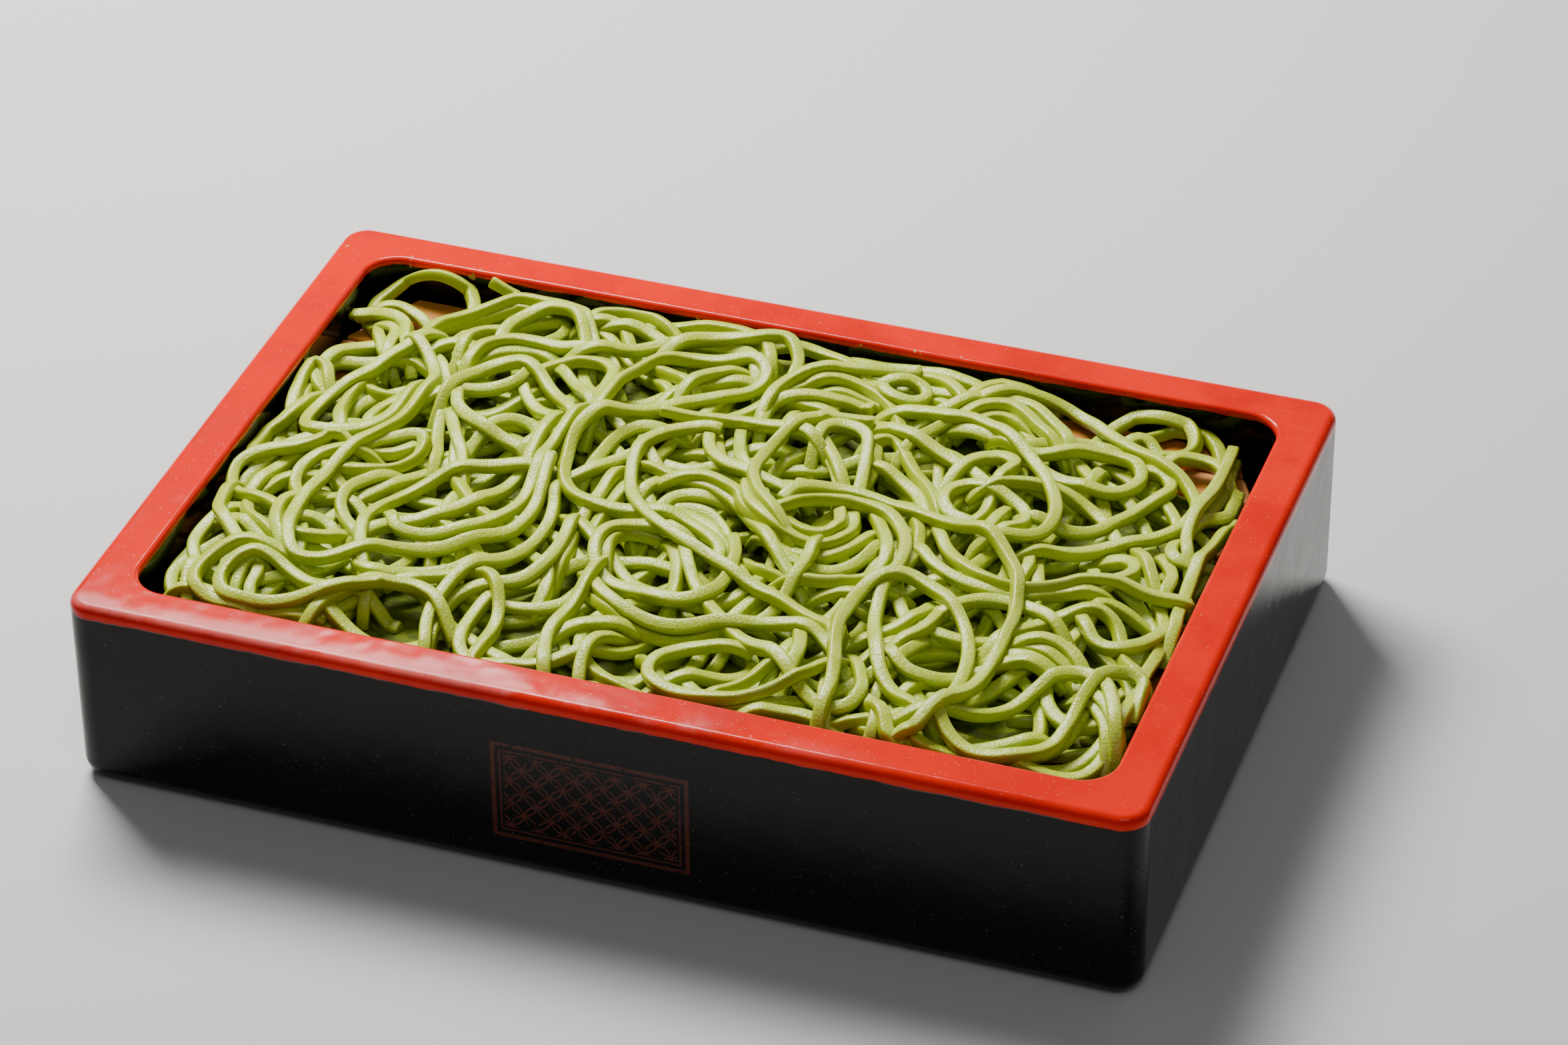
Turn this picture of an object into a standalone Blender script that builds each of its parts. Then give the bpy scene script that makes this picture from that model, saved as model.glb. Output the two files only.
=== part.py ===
# Green tea soba heaped on the slatted rack of a lacquered serving box.
# The origin is on the table under the middle of the box: X runs along the box, Y across it, Z up.
# Sizes are worked out in millimetres and written to the meshes in metres.

import math
import random

import bmesh
import bpy
import numpy as np
from mathutils import Vector

MM = 0.001

# Box: outer size, walls and edges
BOX_LENGTH = 240.0
BOX_WIDTH = 161.0
BOX_HEIGHT = 47.0
RIM_WIDTH = 10.6
OUTER_CORNER_RADIUS = 6.0
OPENING_CORNER_RADIUS = 8.0
FOOT_ROUNDING = 4.5
RIM_OUTER_ROUNDING = 2.0
RIM_INNER_ROUNDING = 1.0
FLOOR_THICKNESS = 4.0
LEDGE_WIDTH = 6.0
CORNER_STEPS = 6

# Rack: slats along X on battens along Y, which lie on the ledge inside the box
RACK_DEPTH = 9.4
SLAT_COUNT = 13
SLAT_WIDTH = 9.4
SLAT_GAP = 1.2
SLAT_THICKNESS = 3.0
RACK_CORNER_CUT = (10.5, 20.5)
BATTEN_WIDTH = 9.0
BATTEN_THICKNESS = 5.0
BATTEN_SPACING = 84.0
WOOD_EDGE = 0.5

# Fit between pieces that touch or rest on each other
GAP = 0.3

# Noodles: a square strand, and how the heap lies
STRAND_WIDTH = 2.7
STRAND_THICKNESS = 2.4
STRAND_COUNT = 26
STRAND_LENGTHS = (230.0, 110.0)
STRAND_STEP = 2.0
RING_TURN = 26.0
RING_SPACING = 16.0
STRAND_SINK = 0.45
CORE_SINK = 1.1
DRAPE_RADIUS = 14.0
WALL_CLEARANCE = 0.8
CORNER_ROOM = 16.0
EDGE_LEVEL = 5.4
MIDDLE_LEVEL = 11.0
EDGE_SLOPE_WIDTH = 42.0
CORE_BELOW_TOP = 3.2
CORE_INSET = 4.0
HEAP_SEED = 11
FLAT_ANGLE = 2.0

rack_top = BOX_HEIGHT - RACK_DEPTH
heap_bottom = rack_top + GAP
opening_half_x = BOX_LENGTH / 2 - RIM_WIDTH
opening_half_y = BOX_WIDTH / 2 - RIM_WIDTH


def clear_scene():
    for item in list(bpy.data.objects):
        bpy.data.objects.remove(item, do_unlink=True)


def make_material(name, colour, roughness, metallic=0.0):
    material = bpy.data.materials.new(name)
    material.use_nodes = True
    shader = material.node_tree.nodes["Principled BSDF"]
    shader.inputs["Base Color"].default_value = (*colour, 1.0)
    shader.inputs["Roughness"].default_value = roughness
    shader.inputs["Metallic"].default_value = metallic
    material.diffuse_color = (*colour, 1.0)
    return material


def add_object(name, points, faces, *materials):
    """A mesh object from points in millimetres, in world axes."""
    mesh = bpy.data.meshes.new(name)
    mesh.from_pydata([(x * MM, y * MM, z * MM) for x, y, z in points], [], faces)
    mesh.update()
    item = bpy.data.objects.new(name, mesh)
    for material in materials:
        item.data.materials.append(material)
    bpy.context.scene.collection.objects.link(item)
    return item


# Box


def rounded_ring(half_x, half_y, radius, z):
    """A level rounded rectangle, anticlockwise from above."""
    ring = []
    corners = ((1, 1, 0), (-1, 1, 90), (-1, -1, 180), (1, -1, 270))
    for side_x, side_y, start in corners:
        for step in range(CORNER_STEPS + 1):
            angle = math.radians(start + 90 * step / CORNER_STEPS)
            ring.append((
                side_x * (half_x - radius) + radius * math.cos(angle),
                side_y * (half_y - radius) + radius * math.sin(angle),
                z,
            ))
    return ring


def box_profile():
    """The wall's section as (inset from the outer wall, height, corner radius), from the foot over the rim to the floor."""
    profile = []
    for step in range(4):
        angle = math.radians(90 * step / 3)
        inset = FOOT_ROUNDING * (1 - math.sin(angle))
        height = FOOT_ROUNDING * (1 - math.cos(angle))
        profile.append((inset, height, OUTER_CORNER_RADIUS - inset))
    for step in range(4):
        angle = math.radians(90 * step / 3)
        inset = RIM_OUTER_ROUNDING * (1 - math.cos(angle))
        height = BOX_HEIGHT - RIM_OUTER_ROUNDING * (1 - math.sin(angle))
        profile.append((inset, height, OUTER_CORNER_RADIUS - inset))
    for step in range(3):
        angle = math.radians(90 * step / 2)
        inset = RIM_WIDTH - RIM_INNER_ROUNDING * (1 - math.sin(angle))
        height = BOX_HEIGHT - RIM_INNER_ROUNDING * (1 - math.cos(angle))
        profile.append((inset, height, OPENING_CORNER_RADIUS + RIM_WIDTH - inset))
    ledge_height = rack_top - SLAT_THICKNESS - BATTEN_THICKNESS - 2 * GAP
    profile.append((RIM_WIDTH, ledge_height, OPENING_CORNER_RADIUS))
    profile.append((RIM_WIDTH + LEDGE_WIDTH, ledge_height, OPENING_CORNER_RADIUS))
    profile.append((RIM_WIDTH + LEDGE_WIDTH, FLOOR_THICKNESS, OPENING_CORNER_RADIUS))
    return profile


def make_box(black, red):
    points = []
    faces = []
    profile = box_profile()
    per_ring = 4 * (CORNER_STEPS + 1)
    for inset, height, radius in profile:
        points += rounded_ring(BOX_LENGTH / 2 - inset, BOX_WIDTH / 2 - inset, radius, height)
    for ring in range(len(profile) - 1):
        for k in range(per_ring):
            near = ring * per_ring + k
            beside = ring * per_ring + (k + 1) % per_ring
            faces.append((near, beside, beside + per_ring, near + per_ring))
    faces.append(tuple(reversed(range(per_ring))))
    faces.append(tuple(range((len(profile) - 1) * per_ring, len(profile) * per_ring)))
    item = add_object("box_body", points, faces, black, red)
    painted_from = (BOX_HEIGHT - RIM_OUTER_ROUNDING - 1.0) * MM
    for face in item.data.polygons:
        if face.center.z > painted_from:
            face.material_index = 1
    item.data.shade_smooth()
    item.data.set_sharp_from_angle(angle=math.radians(35))
    return item


# Rack


def make_plank(name, outline, low, high, material):
    """A flat board from an anticlockwise outline, with its edges just broken."""
    count = len(outline)
    points = [(x, y, low) for x, y in outline] + [(x, y, high) for x, y in outline]
    faces = [tuple(reversed(range(count))), tuple(range(count, 2 * count))]
    for k in range(count):
        beside = (k + 1) % count
        faces.append((k, beside, beside + count, k + count))
    item = add_object(name, points, faces, material)
    edge = item.modifiers.new("edge", "BEVEL")
    edge.width = WOOD_EDGE * MM
    edge.segments = 1
    edge.limit_method = "ANGLE"
    return item


def slat_end(y):
    """How far a slat reaches along X at a place across the rack, whose corners are cut off straight."""
    cut_x, cut_y = RACK_CORNER_CUT
    rack_half_y = (SLAT_COUNT * (SLAT_WIDTH + SLAT_GAP) - SLAT_GAP) / 2
    into_cut = max(0.0, abs(y) - (rack_half_y - cut_y))
    return opening_half_x - GAP - cut_x * into_cut / cut_y


def make_rack(wood):
    slat_low = rack_top - SLAT_THICKNESS
    for k in range(SLAT_COUNT):
        middle_y = (k - (SLAT_COUNT - 1) / 2) * (SLAT_WIDTH + SLAT_GAP)
        near, far = middle_y - SLAT_WIDTH / 2, middle_y + SLAT_WIDTH / 2
        outline = [(-slat_end(near), near), (slat_end(near), near), (slat_end(far), far), (-slat_end(far), far)]
        make_plank(f"rack_slat_{k + 1:02d}", outline, slat_low, rack_top, wood)
    batten_high = slat_low - GAP
    half_y = opening_half_y - GAP
    for k in range(3):
        x = (k - 1) * BATTEN_SPACING
        low_x, high_x = x - BATTEN_WIDTH / 2, x + BATTEN_WIDTH / 2
        outline = [(low_x, -half_y), (high_x, -half_y), (high_x, half_y), (low_x, half_y)]
        make_plank(f"rack_batten_{k + 1}", outline, batten_high - BATTEN_THICKNESS, batten_high, wood)


# Noodle heap


def wall_distance(x, y):
    """How far a place is inside the opening's walls."""
    return min(opening_half_x - abs(x), opening_half_y - abs(y))


def inside_opening(x, y, clearance):
    """True where a strand's middle can lie, with the opening's corners left emptier."""
    corner = OPENING_CORNER_RADIUS + CORNER_ROOM
    over_x = max(0.0, abs(x) - (opening_half_x - corner))
    over_y = max(0.0, abs(y) - (opening_half_y - corner))
    if over_x > 0 and over_y > 0:
        return math.hypot(over_x, over_y) < corner - clearance
    return wall_distance(x, y) > clearance


def heap_top(x, y):
    """Height of the heap's top: low along the walls, gently crowned in the middle."""
    t = min(1.0, max(0.0, wall_distance(x, y) / EDGE_SLOPE_WIDTH))
    rise = t * t * (3 - 2 * t)
    wave = 0.7 * math.sin(x / 17.0 + 1.0) * math.cos(y / 13.0) + 0.5 * math.sin(x / 29.0 - y / 21.0)
    return rack_top + EDGE_LEVEL + (MIDDLE_LEVEL - EDGE_LEVEL) * rise + wave * rise


class Relief:
    """The heap's upper surface on a square grid, raised by each strand that is laid."""

    cell = 0.7

    def __init__(self):
        self.columns = int(2 * opening_half_x / self.cell) + 2
        self.rows = int(2 * opening_half_y / self.cell) + 2
        self.heights = np.zeros((self.columns, self.rows))
        for i in range(self.columns):
            for j in range(self.rows):
                x = i * self.cell - opening_half_x
                y = j * self.cell - opening_half_y
                base = heap_top(x, y) - CORE_BELOW_TOP if in_core(x, y) else heap_bottom
                self.heights[i, j] = base - (CORE_SINK if in_core(x, y) else 0.0)
        reach = STRAND_WIDTH * 0.55
        span = int(reach / self.cell) + 1
        offsets = range(-span, span + 1)
        self.foot = [
            (di, dj) for di in offsets for dj in offsets
            if math.hypot(di, dj) * self.cell <= reach
        ]

    def cells(self, path):
        i = np.rint((path[:, 0] + opening_half_x) / self.cell).astype(int)
        j = np.rint((path[:, 1] + opening_half_y) / self.cell).astype(int)
        for di, dj in self.foot:
            yield np.clip(i + di, 0, self.columns - 1), np.clip(j + dj, 0, self.rows - 1)

    def support(self, path):
        under = np.full(len(path), -1e9)
        for i, j in self.cells(path):
            under = np.maximum(under, self.heights[i, j])
        return under

    def add(self, path, middle):
        top = middle + STRAND_THICKNESS / 2 - STRAND_SINK
        for i, j in self.cells(path):
            np.maximum.at(self.heights, (i, j), top)


def core_outline(angle):
    """Distance from the middle to the core's uneven edge, in a direction."""
    half_x, half_y = opening_half_x - CORE_INSET, opening_half_y - CORE_INSET
    c, s = abs(math.cos(angle)) / half_x, abs(math.sin(angle)) / half_y
    power = 6.0
    reach = (c ** power + s ** power) ** (-1 / power)
    return reach - 1.6 - 1.1 * math.sin(9 * angle + 0.7) - 0.6 * math.sin(17 * angle)


def in_core(x, y):
    return math.hypot(x, y) < core_outline(math.atan2(y, x)) - 1.0


def make_core(material):
    """The packed inside of the heap, flat below and gently uneven above."""
    around, rings = 44, 5
    points = [(0.0, 0.0, heap_bottom), (0.0, 0.0, heap_top(0, 0) - CORE_BELOW_TOP)]
    for ring in range(rings + 1):
        share = (ring + 1) / (rings + 1)
        for k in range(around):
            angle = 2 * math.pi * k / around
            reach = core_outline(angle) * share
            x, y = reach * math.cos(angle), reach * math.sin(angle)
            points.append((x, y, heap_top(x, y) - CORE_BELOW_TOP))
    for k in range(around):
        angle = 2 * math.pi * k / around
        reach = core_outline(angle) + 0.5
        points.append((reach * math.cos(angle), reach * math.sin(angle), heap_bottom))
    faces = []
    last = 2 + (rings + 1) * around
    for k in range(around):
        beside = (k + 1) % around
        faces.append((1, 2 + k, 2 + beside))
        faces.append((0, last + beside, last + k))
        for ring in range(rings + 1):
            low = 2 + ring * around
            faces.append((low + k, low + around + k, low + around + beside, low + beside))
    return add_object("noodle_heap", points, faces, material)


def wandering_path(draw, length):
    """A strand seen from above: a smooth line whose bend swings from one side to the other."""
    steps = int(length / STRAND_STEP)
    x = draw.uniform(-opening_half_x, opening_half_x)
    y = draw.uniform(-opening_half_y, opening_half_y)
    heading = draw.uniform(0, 2 * math.pi)
    bend = draw.choice((-1, 1)) / draw.uniform(13.0, 55.0)
    swing = draw.uniform(0.0, 0.055)
    wave = draw.uniform(40.0, 110.0)
    phase = draw.uniform(0, 2 * math.pi)
    path = []
    for step in range(steps + 1):
        if not inside_opening(x, y, WALL_CLEARANCE + STRAND_WIDTH * 0.6):
            return None
        path.append((x, y))
        turn = bend + swing * math.sin(2 * math.pi * step * STRAND_STEP / wave + phase)
        heading += max(-0.11, min(0.11, turn)) * STRAND_STEP
        x += STRAND_STEP * math.cos(heading)
        y += STRAND_STEP * math.sin(heading)
    return np.array(path)


def own_crossings(path):
    """Pairs of places, one earlier and one later, where a strand passes over itself."""
    distance = np.hypot(*(path[:, None, :] - path[None, :, :]).transpose(2, 0, 1))
    near = np.argwhere(distance < STRAND_WIDTH * 1.25)
    return [(a, b) for a, b in near if (b - a) * STRAND_STEP > 3 * STRAND_WIDTH]


def drape(path, under, crossings):
    """Heights of a strand's middle: it rests on what is under it and bends no tighter than the drape radius."""
    lowest = under + STRAND_THICKNESS / 2
    sag = STRAND_STEP ** 2 / (2 * DRAPE_RADIUS)
    middle = lowest
    for _ in range(3):
        middle = lowest.copy()
        for _ in range(160):
            between = (np.roll(middle, 1) + np.roll(middle, -1)) / 2 - sag
            between[0] = between[-1] = -1e9
            middle = np.maximum(lowest, between)
        for a, b in crossings:
            lowest[b] = max(lowest[b], middle[a] + STRAND_THICKNESS * 1.12)
    for a, b in crossings:
        if middle[b] - middle[a] < STRAND_THICKNESS * 1.06:
            return None
    return middle


def lay_strands():
    """Lays the strands one by one, each time the candidate that lies lowest and where least lies yet."""
    draw = random.Random(HEAP_SEED)
    relief = Relief()
    laid = []
    used = np.zeros((9, 6))
    for k in range(STRAND_COUNT):
        share = k / (STRAND_COUNT - 1)
        length = STRAND_LENGTHS[0] + (STRAND_LENGTHS[1] - STRAND_LENGTHS[0]) * share
        best = None
        tries = 0
        while tries < 46:
            path = wandering_path(draw, length)
            if path is None:
                continue
            tries += 1
            crossings = own_crossings(path)
            middle = drape(path, relief.support(path), crossings)
            if middle is None:
                continue
            allowed = np.array([heap_top(x, y) for x, y in path]) - STRAND_THICKNESS / 2
            over = np.maximum(0.0, middle - allowed)
            column = ((path[:, 0] / opening_half_x + 1) / 2 * 8.999).astype(int)
            row = ((path[:, 1] / opening_half_y + 1) / 2 * 5.999).astype(int)
            cost = over.mean() * 2 + over.max() + used[column, row].mean() * 0.09
            if best is None or cost < best[0]:
                best = (cost, path, middle, column, row)
        _, path, middle, column, row = best
        relief.add(path, middle)
        np.add.at(used, (column, row), 1)
        laid.append(np.column_stack([path, middle]))
    return laid


def ring_places(ahead):
    """Where a strand gets its rings: after each bend of the set angle, or of the longest straight."""
    unit = ahead / np.linalg.norm(ahead, axis=1)[:, None]
    turns = np.degrees(np.arccos(np.clip((unit[1:] * unit[:-1]).sum(1), -1, 1)))
    places = [0]
    bent = 0.0
    for k, turn in enumerate(turns):
        bent += turn
        far = (k + 1 - places[-1]) * STRAND_STEP
        if bent > RING_TURN or far >= RING_SPACING:
            places.append(k + 1)
            bent = 0.0
    if places[-1] != len(ahead) - 1:
        places[-1 if len(ahead) - 1 - places[-1] == 1 else len(places):] = [len(ahead) - 1]
    return places


def strand_object(name, line, material):
    """A strand of square section along a line of points."""
    ahead = np.gradient(line, axis=0)
    rings = ring_places(ahead)
    points = []
    faces = []
    for place, direction in zip(line[rings], ahead[rings]):
        along = Vector(direction).normalized()
        across = along.cross(Vector((0, 0, 1))).normalized()
        upward = across.cross(along)
        middle = Vector(place)
        for side, level in ((1, -1), (1, 1), (-1, 1), (-1, -1)):
            corner = middle + across * (side * STRAND_WIDTH / 2)
            points.append(tuple(corner + upward * (level * STRAND_THICKNESS / 2)))
    count = len(rings)
    for ring in range(count - 1):
        for k in range(4):
            near, beside = ring * 4 + k, ring * 4 + (k + 1) % 4
            faces.append((near, near + 4, beside + 4, beside))
    faces.append((0, 1, 2, 3))
    faces.append(tuple(reversed(range(4 * count - 4, 4 * count))))
    return add_object(name, points, faces, material)


def keep_outer_shell(item):
    """Fills hollows that fusing sealed, drops loose scraps and merges the slivers that it left in flat faces."""
    shape = bmesh.new()
    shape.from_mesh(item.data)
    bmesh.ops.triangulate(shape, faces=shape.faces)
    unseen = set(shape.verts)
    groups = []
    while unseen:
        reached = {unseen.pop()}
        frontier = list(reached)
        while frontier:
            for edge in frontier.pop().link_edges:
                for vertex in edge.verts:
                    if vertex in unseen:
                        unseen.remove(vertex)
                        reached.add(vertex)
                        frontier.append(vertex)
        groups.append(reached)
    groups.sort(key=len)
    loose = [vertex for group in groups[:-1] for vertex in group]
    bmesh.ops.delete(shape, geom=loose, context="VERTS")
    bmesh.ops.dissolve_limit(shape, angle_limit=math.radians(FLAT_ANGLE), verts=shape.verts, edges=shape.edges)
    bmesh.ops.triangulate(shape, faces=shape.faces)
    shape.to_mesh(item.data)
    shape.free()


def make_heap(material):
    heap = make_core(material)
    strands = bpy.data.collections.new("strands")
    bpy.context.scene.collection.children.link(strands)
    for k, line in enumerate(lay_strands()):
        strand = strand_object(f"strand_{k + 1:02d}", line, material)
        bpy.context.scene.collection.objects.unlink(strand)
        strands.objects.link(strand)
    fuse = heap.modifiers.new("fuse", "BOOLEAN")
    fuse.operation = "UNION"
    fuse.operand_type = "COLLECTION"
    fuse.collection = strands
    fuse.solver = "MANIFOLD"
    bpy.context.view_layer.update()
    fused = bpy.data.meshes.new_from_object(heap.evaluated_get(bpy.context.evaluated_depsgraph_get()))
    heap.modifiers.remove(fuse)
    heap.data = fused
    for strand in list(strands.objects):
        bpy.data.objects.remove(strand, do_unlink=True)
    bpy.data.collections.remove(strands)
    keep_outer_shell(heap)
    heap.data.name = "noodle_heap"
    return heap


clear_scene()
black_lacquer = make_material("black_lacquer", (0.012, 0.012, 0.014), 0.22)
red_lacquer = make_material("red_lacquer", (0.80, 0.035, 0.012), 0.25)
rack_wood = make_material("rack_wood", (0.52, 0.17, 0.05), 0.55)
tea_noodle = make_material("tea_noodle", (0.42, 0.48, 0.13), 0.40)
make_box(black_lacquer, red_lacquer)
make_rack(rack_wood)
make_heap(tea_noodle)
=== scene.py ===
import math
import random

import bpy
import numpy as np
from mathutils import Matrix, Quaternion, Vector


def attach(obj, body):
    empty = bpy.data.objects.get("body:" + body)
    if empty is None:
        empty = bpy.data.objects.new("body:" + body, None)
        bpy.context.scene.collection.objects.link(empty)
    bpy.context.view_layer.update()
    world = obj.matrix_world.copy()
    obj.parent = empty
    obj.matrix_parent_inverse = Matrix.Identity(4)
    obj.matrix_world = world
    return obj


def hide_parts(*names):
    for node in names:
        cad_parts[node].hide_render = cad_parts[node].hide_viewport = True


# Tea soba heaped on the slatted rack of a lacquered serving box.
# X runs along the box, Y across it, Z up from the table. Noodles are worked out in millimetres.

mm = 0.001
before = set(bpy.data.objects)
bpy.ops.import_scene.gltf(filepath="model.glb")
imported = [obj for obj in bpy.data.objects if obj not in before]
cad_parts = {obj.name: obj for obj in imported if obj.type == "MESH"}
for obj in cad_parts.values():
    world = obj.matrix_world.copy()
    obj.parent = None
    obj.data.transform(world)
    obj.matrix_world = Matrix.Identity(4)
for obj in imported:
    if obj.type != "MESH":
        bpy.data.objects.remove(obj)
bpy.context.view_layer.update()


print("frame loaded")


# helpers for modelling by hand


def deselectAll():
    if bpy.context.object and bpy.context.object.mode != "OBJECT":
        bpy.ops.object.mode_set(mode="OBJECT")
    bpy.ops.object.select_all(action="DESELECT")


def makeActive(piece):
    deselectAll()
    piece.select_set(True)
    bpy.context.view_layer.objects.active = piece


def applyModifier(piece, kind, **values):
    makeActive(piece)
    modifier = piece.modifiers.new(kind.lower(), kind)
    for name, value in values.items():
        setattr(modifier, name, value)
    bpy.ops.object.modifier_apply(modifier=modifier.name)


# wanted(a, b) says, from an edge's two ends, whether it is rounded
def bevelEdges(piece, wanted, offset, segments):
    makeActive(piece)
    bpy.ops.object.mode_set(mode="EDIT")
    bpy.ops.mesh.select_mode(type="EDGE")
    bpy.ops.mesh.select_all(action="DESELECT")
    bpy.ops.object.mode_set(mode="OBJECT")
    points = piece.data.vertices
    for edge in piece.data.edges:
        edge.select = wanted(points[edge.vertices[0]].co, points[edge.vertices[1]].co)
    bpy.ops.object.mode_set(mode="EDIT")
    bpy.ops.mesh.bevel(offset=offset, segments=segments, profile=0.5, affect="EDGES")
    bpy.ops.object.mode_set(mode="OBJECT")


def roundedBlock(name, halfX, halfY, low, high, corner, segments):
    deselectAll()
    bpy.ops.mesh.primitive_cube_add(size=1, location=(0, 0, (low + high) / 2))
    block = bpy.context.object
    block.name = block.data.name = name
    block.scale = (2 * halfX, 2 * halfY, high - low)
    bpy.ops.object.transform_apply(location=True, rotation=True, scale=True)
    bevelEdges(block, lambda a, b: abs(a.z - b.z) > (high - low) / 2, corner, segments)
    return block


# helpers for materials


def newMaterial(name):
    material = bpy.data.materials.new(name)
    material.use_nodes = True
    return material, material.node_tree, material.node_tree.nodes["Principled BSDF"]


def addNode(tree, kind, **values):
    node = tree.nodes.new(kind)
    for name, value in values.items():
        setattr(node, name, value)
    return node


# source is a socket or a plain number
def plug(tree, source, target):
    if isinstance(source, (int, float)):
        target.default_value = source
    else:
        tree.links.new(source, target)


def calculate(tree, operation, *values):
    node = addNode(tree, "ShaderNodeMath", operation=operation)
    for k, value in enumerate(values):
        plug(tree, value, node.inputs[k])
    return node.outputs[0]


def times(tree, first, *others):
    for other in others:
        first = calculate(tree, "MULTIPLY", first, other)
    return first


def plus(tree, first, *others):
    for other in others:
        first = calculate(tree, "ADD", first, other)
    return first


def minus(tree, first, second):
    return calculate(tree, "SUBTRACT", first, second)


def absolute(tree, value):
    return calculate(tree, "ABSOLUTE", value)


# 0 at start, 1 at end, smooth between them
def fade(tree, value, start, end):
    node = addNode(tree, "ShaderNodeMapRange", interpolation_type="SMOOTHSTEP")
    plug(tree, value, node.inputs["Value"])
    node.inputs["From Min"].default_value = start
    node.inputs["From Max"].default_value = end
    return node.outputs["Result"]


def blendColours(tree, share, first, second):
    node = addNode(tree, "ShaderNodeMix", data_type="RGBA")
    plug(tree, share, node.inputs["Factor"])
    for colour, socket in ((first, node.inputs[6]), (second, node.inputs[7])):
        if isinstance(colour, tuple):
            socket.default_value = (*colour, 1)
        else:
            tree.links.new(colour, socket)
    return node.outputs[2]


# noise from 0 to 1; scale is in waves to the metre
def grain(tree, vector, scale, detail=3.0, roughness=0.5, stretch=None):
    if stretch:
        mapping = addNode(tree, "ShaderNodeMapping")
        mapping.inputs["Scale"].default_value = stretch
        tree.links.new(vector, mapping.inputs["Vector"])
        vector = mapping.outputs["Vector"]
    node = addNode(tree, "ShaderNodeTexNoise")
    tree.links.new(vector, node.inputs["Vector"])
    node.inputs["Scale"].default_value = scale
    node.inputs["Detail"].default_value = detail
    node.inputs["Roughness"].default_value = roughness
    return node.outputs["Fac"]


def bump(tree, height, strength, distance, below=None):
    node = addNode(tree, "ShaderNodeBump")
    node.inputs["Strength"].default_value = strength
    node.inputs["Distance"].default_value = distance
    tree.links.new(height, node.inputs["Height"])
    if below:
        tree.links.new(below, node.inputs["Normal"])
    return node.outputs["Normal"]


# fine specks and soft haze, for the lacquer and the wood
def makeWearGroup():
    group = bpy.data.node_groups.new("specksAndHaze", "ShaderNodeTree")
    group.interface.new_socket("Vector", in_out="INPUT", socket_type="NodeSocketVector")
    for name in ("Speck Size", "Haze Size"):
        group.interface.new_socket(name, in_out="INPUT", socket_type="NodeSocketFloat")
    for name in ("Specks", "Haze"):
        group.interface.new_socket(name, in_out="OUTPUT", socket_type="NodeSocketFloat")
    start = addNode(group, "NodeGroupInput")
    end = addNode(group, "NodeGroupOutput")
    fine = addNode(group, "ShaderNodeTexNoise")
    fine.inputs["Detail"].default_value = 2
    group.links.new(start.outputs["Vector"], fine.inputs["Vector"])
    group.links.new(calculate(group, "DIVIDE", 1.0, start.outputs["Speck Size"]), fine.inputs["Scale"])
    wide = addNode(group, "ShaderNodeTexNoise")
    wide.inputs["Detail"].default_value = 4
    wide.inputs["Roughness"].default_value = 0.6
    group.links.new(start.outputs["Vector"], wide.inputs["Vector"])
    group.links.new(calculate(group, "DIVIDE", 1.0, start.outputs["Haze Size"]), wide.inputs["Scale"])
    group.links.new(fade(group, fine.outputs["Fac"], 0.68, 0.76), end.inputs["Specks"])
    group.links.new(fade(group, wide.outputs["Fac"], 0.38, 0.66), end.inputs["Haze"])
    return group


wearGroup = makeWearGroup()


def placeWear(tree, vector, speckSize, hazeSize):
    node = addNode(tree, "ShaderNodeGroup")
    node.node_tree = wearGroup
    tree.links.new(vector, node.inputs["Vector"])
    node.inputs["Speck Size"].default_value = speckSize
    node.inputs["Haze Size"].default_value = hazeSize
    return node.outputs["Specks"], node.outputs["Haze"]


# camera, light and floor

photoView = {
    "lens": 125.78, "sensor": 36, "aim": (0.01664, -0.00329, 0.047), "distance": 1.1905,
    "turn": 19.38, "down": 35.1, "roll": -0.51,
}
lamps = {
    "overheadSoftbox": {
        "at": (-0.42, 0.43, 0.76), "size": (0.46, 0.34), "watts": 20.5, "colour": (1.0, 0.99, 0.97),
    },
    "backStrip": {
        "at": (0.10, 1.00, 0.20), "size": (1.1, 0.12), "watts": 1.2, "colour": (1.0, 1.0, 1.0),
    },
    "frontFill": {
        "at": (0.35, -0.60, 1.10), "size": (0.5, 0.5), "watts": 1.6, "colour": (1.0, 0.98, 0.96),
    },
}
roomLight = {"colour": (0.86, 0.88, 0.92), "strength": 0.145}
floorLook = {"size": 6, "colour": (0.62, 0.61, 0.59), "roughness": 0.7}


def makeCamera():
    turn, down = math.radians(photoView["turn"]), math.radians(photoView["down"])
    level = math.cos(down)
    ahead = Vector((-math.sin(turn) * level, math.cos(turn) * level, -math.sin(down)))
    data = bpy.data.cameras.new("photoCamera")
    data.lens = photoView["lens"]
    data.sensor_width = photoView["sensor"]
    camera = bpy.data.objects.new("photoCamera", data)
    bpy.context.scene.collection.objects.link(camera)
    camera.location = Vector(photoView["aim"]) - ahead * photoView["distance"]
    camera.rotation_mode = "QUATERNION"
    roll = Quaternion((0, 0, 1), math.radians(photoView["roll"]))
    camera.rotation_quaternion = ahead.to_track_quat("-Z", "Y") @ roll
    bpy.context.scene.camera = camera


def makeLamps():
    for name, lamp in lamps.items():
        data = bpy.data.lights.new(name, "AREA")
        data.shape = "RECTANGLE"
        data.size, data.size_y = lamp["size"]
        data.energy = lamp["watts"]
        data.color = lamp["colour"]
        item = bpy.data.objects.new(name, data)
        item.location = lamp["at"]
        item.rotation_euler = (-Vector(lamp["at"])).to_track_quat("-Z", "Y").to_euler()
        bpy.context.scene.collection.objects.link(item)
    world = bpy.data.worlds.new("room")
    world.use_nodes = True
    background = world.node_tree.nodes["Background"]
    background.inputs["Color"].default_value = (*roomLight["colour"], 1)
    background.inputs["Strength"].default_value = roomLight["strength"]
    bpy.context.scene.world = world


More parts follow.
